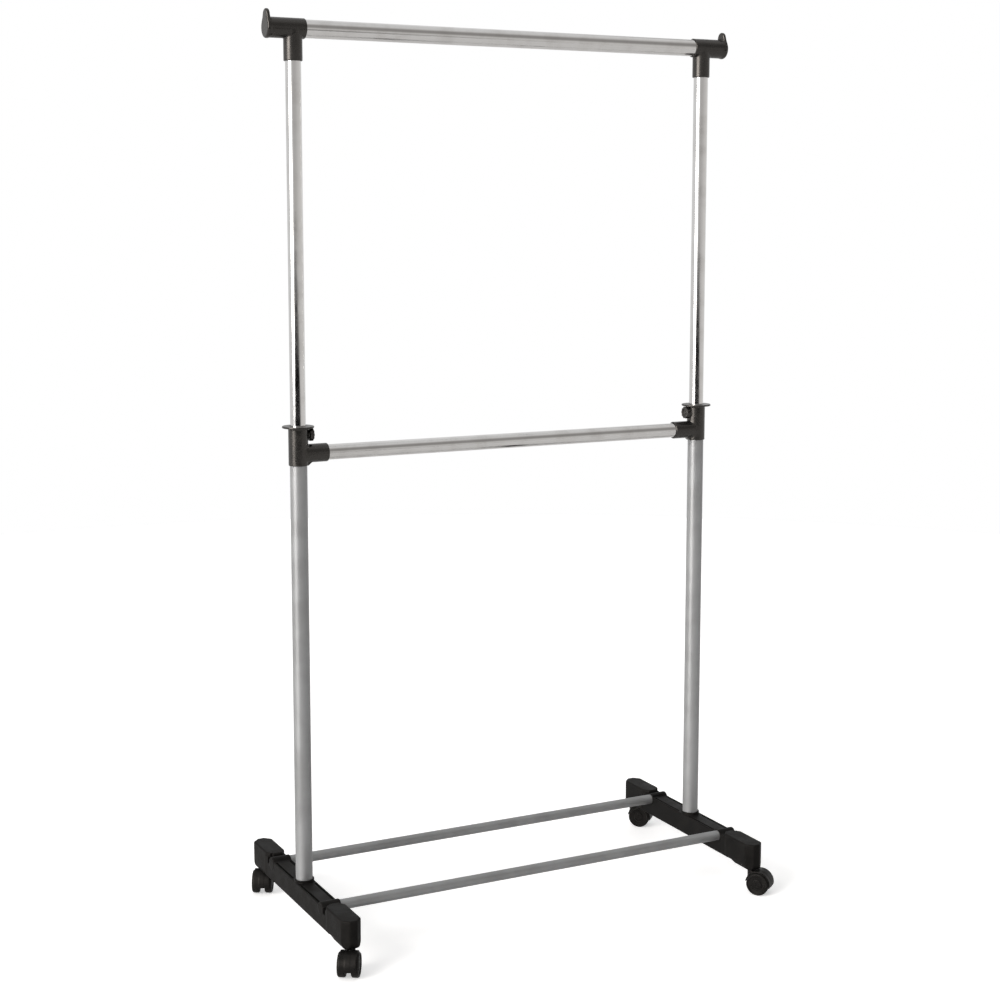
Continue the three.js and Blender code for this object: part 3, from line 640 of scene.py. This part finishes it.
def make_feet():
    low = (FOOT_LOW.x + POST_SPREAD, FOOT_LOW.y, FOOT_LOW.z)
    high = (FOOT_HIGH.x + POST_SPREAD, FOOT_HIGH.y, FOOT_HIGH.z)
    surface = net(foot_field, low, high, COARSE)
    for side in SIDES:
        add(f"{side}_foot", surface, side_place(side), FOOT_FINISH, "base")


# ---------------------------------------------------------------- fastenings

BOLT_THREAD_DEPTH = 0.22
BOLT_THREAD_PITCH = 1.25
BOLT_KEY_HALF_WIDTH = 2.5
BOLT_KEY_DEPTH = 2.2
SCREW_RADIUS = 1.8
SCREW_THREAD_DEPTH = 0.3
SCREW_THREAD_PITCH = 1.4
SCREW_HEAD_RADIUS = 3.4
SCREW_HEAD_HEIGHT = 2.7
SCREW_DOME_RADIUS = 3.9
SCREW_SLOT_HALF_LENGTH = 2.0
SCREW_SLOT_HALF_WIDTH = 0.4
SCREW_SLOT_DEPTH = 1.6
PLUG_BORE_RADIUS = 3.3


def hexagon(a, b, half_width):
    """Distance from a hexagonal bar across its flats."""
    angles = [math.radians(60 * step) for step in range(3)]
    flats = [np.abs(a * math.cos(angle) + b * math.sin(angle)) for angle in angles]
    return np.maximum.reduce(flats) - half_width


def threaded(radius, depth, pitch, along):
    """The radius of a bar with a ring-shaped groove for each turn of its thread."""
    return radius - depth * (1 + np.cos(FULL_TURN * along / pitch)) / 2


def bolt_field(point):
    """A post bolt, head down, with a hexagonal key socket."""
    x, y, z = point
    across = np.hypot(x, y)
    low, high = corners("left_post_bolt")
    head = drum(across, z, reach("left_post_bolt").x, low.z, BOLT_SEAT - PLAY, edge=0.7)
    thread = threaded(BOLT_RADIUS, BOLT_THREAD_DEPTH, BOLT_THREAD_PITCH, z)
    shank = drum(across, z, thread, BOLT_SEAT - 2, high.z, edge=0.5)
    key = meet(hexagon(x, y, BOLT_KEY_HALF_WIDTH), z - low.z - BOLT_KEY_DEPTH)
    return cut(merge(head, shank), key, radius=0.15)


def screw_field(point):
    """A rail screw, head down, with a domed head and a cross slot."""
    x, y, z = point
    across = np.hypot(x, y)
    low, high = corners("back_left_rail_screw")
    seat = low.z + SCREW_HEAD_HEIGHT
    dome = np.sqrt(across ** 2 + (z - seat) ** 2) - SCREW_DOME_RADIUS
    head = meet(drum(across, z, SCREW_HEAD_RADIUS, low.z, seat, edge=0.3), dome)
    thread = threaded(SCREW_RADIUS, SCREW_THREAD_DEPTH, SCREW_THREAD_PITCH, z)
    shank = drum(across, z, thread, seat - 1, high.z, edge=0.5)
    slot_low = (-1, -1, low.z - 5)
    slot_high = (SCREW_SLOT_HALF_LENGTH, SCREW_SLOT_HALF_WIDTH, low.z + SCREW_SLOT_DEPTH)
    side, end = np.abs(x), np.abs(y)
    slot_x = block((side, end, z), slot_low, slot_high, radius=0.1)
    slot_y = block((end, side, z), slot_low, slot_high, radius=0.1)
    return cut(merge(head, shank), merge(slot_x, slot_y), radius=0.12)


def make_fastenings():
    low, high = corners("left_post_bolt")
    head = reach("left_post_bolt").x
    bolt = net(bolt_field, (-head, -head, low.z), (head, head, high.z), BOLT_PITCH)
    low, high = corners("back_left_rail_screw")
    head = SCREW_HEAD_RADIUS
    screw = net(screw_field, (-head, -head, low.z), (head, head, high.z), SCREW_PITCH)
    low, high = corners("left_post_plug")
    radius = reach("left_post_plug").x
    plug = tube(radius, radius - PLUG_BORE_RADIUS, low.z, high.z, edge=0.8)
    for side in SIDES:
        place = side_place(side)
        add(f"{side}_post_bolt", bolt, place, STEEL_FINISH, "base")
        add(f"{side}_post_plug", plug, place, NYLON_FINISH, "base")
        for end, hand in ENDS:
            spot = Matrix.Translation((place.translation.x, hand * SHOE_RAIL_SETBACK, 0))
            add(f"{end}_{side}_rail_screw", screw, spot, STEEL_FINISH, "base")


# ---------------------------------------------------------------- castors

HOOD_OUTER = 22.2
HOOD_WALL = 1.6
HOOD_WEB = 4.4  # half thickness of the web between the wheels
HOOD_WEB_DROP = 5.4  # how far the web hangs below the axle
HOOD_HALF_WIDTH = 14.0
HOOD_FIRST = math.radians(-14)  # where the hood starts round the axle, from +X over the top
HOOD_LAST = math.radians(172)  # and where it ends, at the stem's side
HOOD_LOW = (-10, -HOOD_HALF_WIDTH, 6)
SWIVEL_BOTTOM = 20.0
SWIVEL_TOP = 41.0
SWIVEL_RADIUS = 7.8
STEM_HOLE_BOTTOM = 21.5
STEM_PIVOT_RADIUS = 3.0  # the stem's lower part, in the hood
STEM_GROOVE_RADIUS = 3.4
STEM_TIP_RADIUS = 3.0
CASTOR_TRAIL = 14.0
AXLE_RADIUS = 2.5
AXLE_HALF_LENGTH = 14.0
WHEEL_INNER_FACE = 5.0  # along the axle from the castor's middle, like the next six
WHEEL_RECESS_FLOOR = 6.4
WHEEL_TREAD_START = 6.6
WHEEL_BORE_FLOOR = 14.4
WHEEL_TREAD_END = 15.0
WHEEL_CAP_FACE = 16.5
WHEEL_OUTER_FACE = 17.0
WHEEL_HUB_RADIUS = 5.6
WHEEL_CAP_RADIUS = 8.2
WHEEL_LIP_RADIUS = 18.3


def hood_field(point):
    """The hood and web, with the stem on the Z axis and the axle CASTOR_TRAIL along +X."""
    x, y, z = point
    forward, up = x - CASTOR_TRAIL, z - AXLE_HEIGHT
    from_axle = np.hypot(forward, up)
    outer = from_axle - HOOD_OUTER
    inner = HOOD_OUTER - HOOD_WALL - from_axle
    after_first = slope(forward, up, (0, 0), (math.sin(HOOD_FIRST), -math.cos(HOOD_FIRST)))
    before_last = slope(forward, up, (0, 0), (-math.sin(HOOD_LAST), math.cos(HOOD_LAST)))
    fender = meet(outer, slab(y, -HOOD_HALF_WIDTH, HOOD_HALF_WIDTH), radius=0.9)
    fender = meet(fender, inner, radius=0.6)
    fender = meet(fender, np.minimum(after_first, before_last), radius=0.8)
    web = meet(outer, -up - HOOD_WEB_DROP, radius=1.0)
    web = meet(web, slab(y, -HOOD_WEB, HOOD_WEB), radius=0.8)
    body = merge(fender, web, radius=0.8)
    from_stem = np.hypot(x, y)
    boss = drum(from_stem, z, SWIVEL_RADIUS, SWIVEL_BOTTOM, SWIVEL_TOP, edge=1.0)
    body = merge(body, boss, radius=1.8)
    body = cut(body, meet(from_stem - SWIVEL_RADIUS, SWIVEL_TOP - z), radius=0.2)
    wheel_room = meet(from_axle - (HOOD_OUTER - HOOD_WALL), HOOD_WEB - np.abs(y), radius=0.5)
    body = cut(body, wheel_room)
    stem_hole = meet(from_stem - STEM_PIVOT_RADIUS - PLAY, STEM_HOLE_BOTTOM - z)
    body = cut(body, stem_hole, radius=0.4)
    return cut(body, from_axle - AXLE_RADIUS - PLAY, radius=0.4)


def wheel_surface():
    """A wheel about its axle, with its outer face on +Z: crowned tread, dished face, hub cap.
    Each row is a radius, a place along the axle and a corner radius."""
    bore = AXLE_RADIUS + PLAY
    blind_bore = [(0, WHEEL_BORE_FLOOR, 0), (bore, WHEEL_BORE_FLOOR, 0)]
    hub = [(bore, WHEEL_INNER_FACE, 0.3), (WHEEL_HUB_RADIUS, WHEEL_INNER_FACE, 0.3)]
    recess = [
        (6.2, WHEEL_RECESS_FLOOR, 0.3),
        (15.5, WHEEL_RECESS_FLOOR, 0.3),
        (16.2, WHEEL_INNER_FACE, 0.3),
    ]
    tread = [
        (18.6, WHEEL_INNER_FACE, 0.9),
        (WHEEL_RADIUS, WHEEL_TREAD_START, 0.9),
        (WHEEL_RADIUS, WHEEL_TREAD_END, 1.5),
        (WHEEL_LIP_RADIUS, WHEEL_OUTER_FACE, 0.8),
    ]
    dish = [(16.5, WHEEL_OUTER_FACE, 0.35), (15.9, 15.7, 0.3), (9.0, 15.2, 0.4)]
    cap = [
        (WHEEL_CAP_RADIUS, WHEEL_CAP_FACE, 0.5),
        (3.2, 16.8, 0.4),
        (2.8, 16.2, 0.2),
        (0, 16.2, 0),
    ]
    return rod(blind_bore + hub + recess + tread + dish + cap, segments=72)


def stem_surface():
    """A castor's pin: pivot, flange, and the part pressed into the foot, with a ring groove.
    Each row is a radius, a height and a corner radius."""
    low, high = corners("front_left_castor_stem")
    flange = reach("front_left_castor_stem").x
    lower, upper = SWIVEL_TOP + PLAY, FOOT_LOW.z - PLAY
    pivot = [(0, low.z, 0), (STEM_PIVOT_RADIUS, low.z, 0.5), (STEM_PIVOT_RADIUS, lower, 0.1)]
    disc = [(flange, lower, 0.2), (flange, upper, 0.2), (STEM_RADIUS, upper, 0.1)]
    groove = [
        (STEM_RADIUS, high.z - 5, 0.1),
        (STEM_GROOVE_RADIUS, high.z - 4.4, 0.1),
        (STEM_GROOVE_RADIUS, high.z - 3, 0.1),
        (STEM_RADIUS, high.z - 2.4, 0.1),
    ]
    tip = [(STEM_TIP_RADIUS, high.z, 0.3), (0, high.z, 0)]
    return rod(pivot + disc + groove + tip, segments=48, support=0.05)


def axle_surface():
    """A plain pin with eased ends, about its middle."""
    start, end = (AXLE_RADIUS, -AXLE_HALF_LENGTH, 0.5), (AXLE_RADIUS, AXLE_HALF_LENGTH, 0.5)
    return rod([(0, -AXLE_HALF_LENGTH, 0), start, end, (0, AXLE_HALF_LENGTH, 0)], segments=48)


def make_castors():
    hood_high = (CASTOR_TRAIL + HOOD_OUTER, HOOD_HALF_WIDTH, AXLE_HEIGHT + HOOD_OUTER)
    hood = net(hood_field, HOOD_LOW, hood_high, HOOD_PITCH)
    wheel = wheel_surface()
    stem = stem_surface()
    axle = axle_surface()
    for end, _ in ENDS:
        for side in SIDES:
            name = f"{end}_{side}"
            pivot = centre(f"{name}_castor_stem")
            hub = centre(f"{name}_castor_axle")
            foot = Matrix.Translation((pivot.x, pivot.y, 0))
            heading = math.atan2(hub.y - pivot.y, hub.x - pivot.x)
            swivelled = foot @ Matrix.Rotation(heading, 4, "Z")
            across = Vector((-math.sin(heading), math.cos(heading), 0))
            add(f"{name}_castor_stem", stem, foot, STEEL_FINISH, "base")
            add(f"{name}_castor_hood", hood, swivelled, WHEEL_FINISH, f"{name}_castor")
            add(f"{name}_castor_axle", axle, aimed(hub, across), STEEL_FINISH, f"{name}_castor")
            for hand in "ab":
                tyre = f"{name}_wheel_{hand}"
                outward = across * math.copysign(1, (centre(tyre) - hub).dot(across))
                add(tyre, wheel, aimed(hub, outward), WHEEL_FINISH, tyre)


# ---------------------------------------------------------------- tubes

BUSH_COLLAR_HEIGHT = 9.0
BUSH_WALL = 2.4
POSTS = (
    ("lower_post", "base", POST_PAINT_FINISH),
    ("upper_post", "upper_frame", CHROME_POST_FINISH),
)
RAILS = (
    ("top_rail", "upper_frame", CHROME_RAIL_FINISH),
    ("mid_rail", "base", CHROME_RAIL_FINISH),
    ("front_shoe_rail", "base", RAIL_PAINT_SHADED_FINISH),
    ("back_shoe_rail", "base", RAIL_PAINT_SHADED_FINISH),
)


def bush_surface(side):
    """A guide bush: a collar under the upper post's end, and a hollow plug inside it."""
    low, high = corners(f"{side}_guide_bush")
    collar = reach(f"{side}_guide_bush").x
    plug = UPPER_POST_RADIUS - TUBE_WALL - PLAY
    bore = plug - BUSH_WALL
    step = low.z + BUSH_COLLAR_HEIGHT - PLAY
    outside = [(collar, low.z, 0.8), (collar, step, 0.4), (plug, step, 0.2), (plug, high.z, 0.5)]
    inside = [(bore, high.z, 0.5), (bore, low.z, 0.5)]
    return turned(eased(outside + inside, closed=True), closed=True)


def make_tubes():
    for side in SIDES:
        place = side_place(side)
        for name, body, finish in POSTS:
            low, high = corners(f"{side}_{name}")
            post = tube(reach(f"{side}_{name}").x, TUBE_WALL, low.z, high.z)
            add(f"{side}_{name}", post, place, finish, body)
        add(f"{side}_guide_bush", bush_surface(side), place, NYLON_FINISH, "upper_frame")
    for name, body, finish in RAILS:
        half = reach(name)
        rail = tube(half.z, TUBE_WALL, -half.x, half.x)
        add(name, rail, aimed(centre(name), ALONG_X), finish, body)


# ---------------------------------------------------------------- collars and clamps

ARM_RADIUS = 15.0
ARM_STOP = 18.0
ARM_END = 49.0
SLEEVE_RADIUS = 16.0
FLANGE_RADIUS = 25.8
FLANGE_THICKNESS = 3.0
WEB_HALF_WIDTH = 7.0  # of the web under the arm
WEB_START = 15.5
WEB_NORMAL = (4.0, -4.5)
CLAMP_BOSS_RADIUS = 7.4
CLAMP_BOSS_START = 8.0
CLAMP_BOSS_END = 17.6
NUT_ROOM_START = 13.6
NUT_ROOM_END = 16.4
NUT_ROOM_HALF = 4.4
KNOB_RADIUS = 10.9
KNOB_FACE = corners("left_clamp_knob")[1].x + POST_SPREAD
KNOB_LOBES = 10
KNOB_FLUTE = 0.45
KNOB_DISH_RADIUS = 6.6
KNOB_DISH_DEPTH = 1.6
KNOB_CAP_RADIUS = 3.2
KNOB_HOLE_DEPTH = 4.8
STUD_THREAD_PITCH = 0.8
STUD_THREAD_DEPTH = 0.3
STUD_CHAMFER = 0.5
STUD_LEAD = 0.4  # before the first turn


def collar_field(point):
    """A collar: sleeve, flange, rail arm with its web, and clamp boss, less their bores."""
    x, y, z = point
    across = np.hypot(x, y)
    bottom, top = COLLAR_LOW.z, COLLAR_HIGH.z
    sleeve = drum(across, z, SLEEVE_RADIUS, bottom, top - 1, edge=1.1)
    flange = drum(across, z, FLANGE_RADIUS, top - FLANGE_THICKNESS, top, edge=0.9)
    body = merge(sleeve, flange, radius=2.6)
    from_arm = np.hypot(y, z - MID_RAIL_HEIGHT)
    arm = drum(from_arm, x, ARM_RADIUS, 0, ARM_END, edge=1.3)
    body = merge(body, arm, radius=2.2)
    web = slope(x, z, (WEB_START, bottom), WEB_NORMAL)
    web = meet(slab(y, -WEB_HALF_WIDTH, WEB_HALF_WIDTH), web, radius=1.0)
    web = meet(web, slab(z, bottom, MID_RAIL_HEIGHT - 10), radius=0.8)
    body = merge(body, meet(web, 5 - x), radius=1.6)
    from_clamp = np.hypot(y, z - CLAMP_HEIGHT)
    boss = drum(from_clamp, x, CLAMP_BOSS_RADIUS, CLAMP_BOSS_START, CLAMP_BOSS_END, edge=0.7)
    body = merge(body, boss, radius=1.4)
    lower_socket = meet(across - LOWER_POST_RADIUS - PLAY, z - LOWER_POST_TOP - PLAY)
    body = cut(body, lower_socket, radius=0.5)
    body = cut(body, across - UPPER_POST_RADIUS - PLAY, radius=0.5)
    body = cut(body, meet(from_arm - MID_RAIL_RADIUS - PLAY, ARM_STOP - x), radius=0.5)
    body = cut(body, meet(from_clamp - STUD_ROOM_RADIUS, CLAMP_BOSS_START - x), radius=0.3)
    nut_low = (NUT_ROOM_START, -NUT_ROOM_HALF, CLAMP_HEIGHT - NUT_ROOM_HALF)
    nut_high = (NUT_ROOM_END, NUT_ROOM_HALF, CLAMP_HEIGHT + NUT_ROOM_HALF)
    return cut(body, block(point, nut_low, nut_high, radius=0.2))


def knob_field(point):
    """A fluted hand knob about X with a dished face and a cap in the middle of the dish."""
    x, y, z = point
    low, high = CLAMP_BOSS_END + PLAY, KNOB_FACE
    up = z - CLAMP_HEIGHT
    across = np.hypot(y, up)
    flute = KNOB_FLUTE * (1 - np.cos(KNOB_LOBES * np.arctan2(up, y)))
    body = meet(across + flute - KNOB_RADIUS, slab(x, low, high), radius=1.0)
    dish = meet(across - KNOB_DISH_RADIUS, high - KNOB_DISH_DEPTH - x, radius=0.5)
    body = cut(body, dish, radius=0.6)
    cap = drum(across, x, KNOB_CAP_RADIUS, low + 3, high - 0.6, edge=0.6)
    body = merge(body, cap, radius=0.5)
    return cut(body, meet(across - STUD_ROOM_RADIUS, x - low - KNOB_HOLE_DEPTH))


def nut_surface():
    """The square nut moulded into a collar's clamp boss."""
    low, high = corners("left_clamp_nut")
    half = (high.y - low.y) / 2
    low = (low.x + POST_SPREAD, -half, CLAMP_HEIGHT - half)
    high = (high.x + POST_SPREAD, half, CLAMP_HEIGHT + half)

    def nut_field(point):
        across = np.hypot(point[1], point[2] - CLAMP_HEIGHT)
        return cut(block(point, low, high, radius=0.35), across - STUD_ROOM_RADIUS, radius=0.25)

    return net(nut_field, low, high, NUT_PITCH)


def stud_surface():
    """The clamp's threaded stud, with a ring for each turn of its thread."""
    low, high = corners("left_clamp_stud")
    start, end = low.x + POST_SPREAD, high.x + POST_SPREAD
    radius = reach("left_clamp_stud").z
    root = radius - STUD_THREAD_DEPTH
    outline = [Vector((0, start)), Vector((radius - STUD_CHAMFER, start))]
    turns = int((end - start - 1) / STUD_THREAD_PITCH)
    for turn in range(turns):
        base = start + STUD_LEAD + turn * STUD_THREAD_PITCH
        outline.append(Vector((root, base)))
        outline.append(Vector((radius, base + STUD_THREAD_PITCH * 0.4)))
        outline.append(Vector((radius, base + STUD_THREAD_PITCH * 0.6)))
    outline += [Vector((root, end)), Vector((0, end))]
    points, faces, _ = turned(outline, closed=False, segments=32)
    place = np.array(aimed(Vector((0, 0, CLAMP_HEIGHT)), ALONG_X))
    return points @ place[:3, :3].T + place[:3, 3], faces, None


def make_collars():
    low = (-FLANGE_RADIUS, -FLANGE_RADIUS, COLLAR_LOW.z)
    high = (ARM_END, FLANGE_RADIUS, COLLAR_HIGH.z)
    collar = net(collar_field, low, high, FINE)
    low = (CLAMP_BOSS_END, -KNOB_RADIUS, CLAMP_HEIGHT - KNOB_RADIUS)
    high = (KNOB_FACE, KNOB_RADIUS, CLAMP_HEIGHT + KNOB_RADIUS)
    knob = net(knob_field, low, high, KNOB_PITCH)
    nut = nut_surface()
    stud = stud_surface()
    for side in SIDES:
        place = side_place(side)
        add(f"{side}_collar", collar, place, FITTING_FINISH, "base")
        add(f"{side}_clamp_nut", nut, place, STEEL_FINISH, "base")
        add(f"{side}_clamp_knob", knob, place, FITTING_FINISH, f"{side}_clamp")
        add(f"{side}_clamp_stud", stud, place, STEEL_FINISH, f"{side}_clamp")


# ---------------------------------------------------------------- top connectors

TEE_RADIUS = 16.0
TEE_INNER_END = 19.0
TEE_PLATE_FACE = 46.0
TEE_PLATE_THICKNESS = 6.0
TEE_SOCKET_RADIUS = 15.0
TEE_SOCKET_TOP = 1452.0
TEE_BARREL_FLOOR = 36.0
TAB_RISE = 19.0
TAB_RADIUS = 9.6


def egg(a, b, big, small, rise):
    """Distance from the outline drawn round a big circle and a small one above it."""
    side = np.abs(a)
    lean = (big - small) / rise
    across = math.sqrt(1 - lean * lean)
    along = b * across - side * lean  # place along the slanting side
    low_part = np.hypot(side, b) - big
    high_part = np.hypot(side, b - rise) - small
    flank = side * across + b * lean - big
    return np.where(along < 0, low_part, np.where(along > across * rise, high_part, flank))


def tee_field(point):
    """A top connector: rail barrel, end plate with its stop tab, and post socket."""
    x, y, z = point
    up = z - TOP_RAIL_HEIGHT
    from_rail = np.hypot(y, up)
    from_post = np.hypot(x, y)
    barrel = drum(from_rail, x, TEE_RADIUS, -TEE_PLATE_FACE + 1, TEE_INNER_END, edge=1.1)
    outline = egg(y, up, TEE_RADIUS, TAB_RADIUS, TAB_RISE)
    thickness = slab(x, -TEE_PLATE_FACE, -TEE_PLATE_FACE + TEE_PLATE_THICKNESS)
    body = merge(barrel, meet(outline, thickness, radius=2.4), radius=3.0)
    socket = drum(from_post, z, TEE_SOCKET_RADIUS, TEE_LOW.z, TOP_RAIL_HEIGHT, edge=1.4)
    body = merge(body, socket, radius=1.6)
    rail_bore = meet(from_rail - TOP_RAIL_RADIUS - PLAY, -TEE_BARREL_FLOOR - x)
    body = cut(body, rail_bore, radius=0.5)
    post_bore = meet(from_post - UPPER_POST_RADIUS - PLAY, z - TEE_SOCKET_TOP)
    return cut(body, post_bore, radius=0.5)


def make_tees():
    low = (-TEE_PLATE_FACE, -TEE_RADIUS, TEE_LOW.z)
    high = (TEE_INNER_END, TEE_RADIUS, TEE_HIGH.z)
    tee = net(tee_field, low, high, FINE)
    for side in SIDES:
        add(f"{side}_top_connector", tee, side_place(side), FITTING_FINISH, "upper_frame")


# ---------------------------------------------------------------- studio

CAMERA_YAW = math.radians(27.06)  # from +Y towards +X
CAMERA_PITCH = math.radians(7.442)
CAMERA_ROLL = math.radians(-0.040)
CAMERA_PLACE = (-1.4079, -2.7258, 1.1830)
CAMERA_LENS = 65.27
CAMERA_SHIFT = -0.050


def make_camera():
    data = bpy.data.cameras.new("camera")
    data.lens = CAMERA_LENS
    data.shift_y = CAMERA_SHIFT
    camera = bpy.data.objects.new("camera", data)
    bpy.context.scene.collection.objects.link(camera)
    heading = Matrix.Rotation(-CAMERA_YAW, 4, "Z")
    tilt = Matrix.Rotation(QUARTER_TURN - CAMERA_PITCH, 4, "X")
    roll = Matrix.Rotation(-CAMERA_ROLL, 4, "Z")
    camera.matrix_world = Matrix.Translation(CAMERA_PLACE) @ (heading @ tilt) @ roll
    bpy.context.scene.camera = camera


FLOOR_RADIUS = 4.0
FLOOR_DROP = -0.0002  # just under the wheels
FLOOR_SEGMENTS = 128
FLOOR_SEEN = grey(0.92)
FLOOR_BOUNCE = grey(0.66)
FLOOR_LIFT = 0.45  # extra light where the camera sees the floor


def make_floor():
    """A pale floor that reads white to the eye and pale grey to what it lights."""
    angles = [FULL_TURN * step / FLOOR_SEGMENTS for step in range(FLOOR_SEGMENTS)]
    rim = [(FLOOR_RADIUS * math.cos(a), FLOOR_RADIUS * math.sin(a), FLOOR_DROP) for a in angles]
    mesh = bpy.data.meshes.new("floor")
    mesh.from_pydata(rim, [], [list(range(FLOOR_SEGMENTS))])
    floor = bpy.data.objects.new("floor", mesh)
    bpy.context.scene.collection.objects.link(floor)
    material = bpy.data.materials.new("floor_white")
    material.use_nodes = True
    tree = material.node_tree
    tree.nodes.clear()
    seen = node(tree, "LightPath").outputs["Is Camera Ray"]
    diffuse = node(tree, "BsdfDiffuse", {"Color": tinted(tree, seen, FLOOR_BOUNCE, FLOOR_SEEN)})
    strength = sums(tree, "MULTIPLY", seen, FLOOR_LIFT)
    lift = node(tree, "Emission", {"Color": grey(1.0), "Strength": strength})
    both = node(tree, "AddShader", {0: diffuse.outputs[0], 1: lift.outputs[0]})
    node(tree, "OutputMaterial", {"Surface": both.outputs[0]})
    mesh.materials.append(material)


# Every colour below is (level, warmth), and every pair is a soft edge, in degrees, of a direction
# seen from the rack: turn counts from the camera's side to its right, height from the horizon up.
WALL_FRONT = (0.43, 0.02)
WALL_RIGHT = (0.62, 0.02)
RIGHT_EDGE = (0, 100)
WALL_BACK = (0.74, 0.0)
BACK_EDGE = (100, 150)
WALL_LEFT = (0.67, 0.0)
LEFT_EDGE = (-14, -4)
CEILING = (0.62, 0.0)
CEILING_EDGE = (45, 65)
GAP_COLOUR = (0.004, 0.0)
GAP_TOP = (-3.2, -0.4)
GAP_LEFT = (-40, -28)
GAP_RIGHT = (38, 60)
GAP_WIDTH = 22  # the gap's top edge drops by one degree this far to each side, by four at twice it
PATCH_VALLEY = ((14, 26), (94, 106), (-2, 22), (34, 62), (0.26, 0.03))
PATCH_BEHIND = ((112, 124), (158, 168), (14, 24), (40, 54), (0.16, 0.02))
PATCH_LAMP = ((-69, -56), (-40, -25), (-5.5, -4), (38, 46), (9.0, 0.03))


def make_studio():
    """Grey studio walls with a large soft light to the front left and darker stretches between."""
    world = bpy.data.worlds.new("studio")
    bpy.context.scene.world = world
    world.use_nodes = True
    tree = world.node_tree
    tree.nodes.clear()
    ray = node(tree, "TexCoord").outputs["Generated"]
    front = (-math.sin(CAMERA_YAW), -math.cos(CAMERA_YAW), 0.0)
    right = (math.cos(CAMERA_YAW), -math.sin(CAMERA_YAW), 0.0)
    degrees = math.degrees(1)

    def part(axis):
        return node(tree, "VectorMath", {0: ray, 1: axis}, operation="DOT_PRODUCT").outputs["Value"]

    def rises(value, edge):
        return ranged(tree, value, *edge)

    def falls(value, edge):
        return ranged(tree, value, *edge, to_low=1, to_high=0)

    def painted(wall, colour, first, *others):
        """The wall with a colour where every one of the masks is on."""
        for other in others:
            first = sums(tree, "MULTIPLY", first, other)
        return tinted(tree, first, wall, grey(*colour))

    def patched(wall, turn, height, patch):
        """The wall with a four-sided patch: edges passed while turning, edges passed going up."""
        turn_on, turn_off, height_on, height_off, colour = patch
        across = (rises(turn, turn_on), falls(turn, turn_off))
        return painted(wall, colour, *across, rises(height, height_on), falls(height, height_off))

    turn = sums(tree, "MULTIPLY", sums(tree, "ARCTAN2", part(right), part(front)), degrees)
    height = sums(tree, "MULTIPLY", sums(tree, "ARCSINE", part((0.0, 0.0, 1.0))), degrees)
    wall = painted(grey(*WALL_FRONT), WALL_RIGHT, rises(turn, RIGHT_EDGE))
    wall = painted(wall, WALL_BACK, rises(turn, BACK_EDGE))
    wall = painted(wall, WALL_LEFT, falls(turn, LEFT_EDGE))
    wall = painted(wall, CEILING, rises(height, CEILING_EDGE))
    wall = patched(wall, turn, height, PATCH_VALLEY)
    wall = patched(wall, sums(tree, "ABSOLUTE", turn), height, PATCH_BEHIND)
    bend = sums(tree, "ABSOLUTE", sums(tree, "MULTIPLY", turn, 1 / GAP_WIDTH))
    below = sums(tree, "ADD", height, sums(tree, "POWER", bend, 2.0))
    gap = (falls(below, GAP_TOP), falls(turn, GAP_RIGHT), rises(turn, GAP_LEFT))
    wall = painted(wall, GAP_COLOUR, *gap)
    wall = patched(wall, turn, height, PATCH_LAMP)
    seen = node(tree, "LightPath").outputs["Is Camera Ray"]
    colour = tinted(tree, seen, wall, grey(1.0))
    background = node(tree, "Background", {"Color": colour, "Strength": 1.0})
    node(tree, "OutputWorld", {"Surface": background.outputs[0]})


make_camera()
make_floor()
make_studio()
bpy.context.scene.view_settings.view_transform = "Standard"
make_feet()
make_fastenings()
make_castors()
make_tubes()
make_collars()
make_tees()
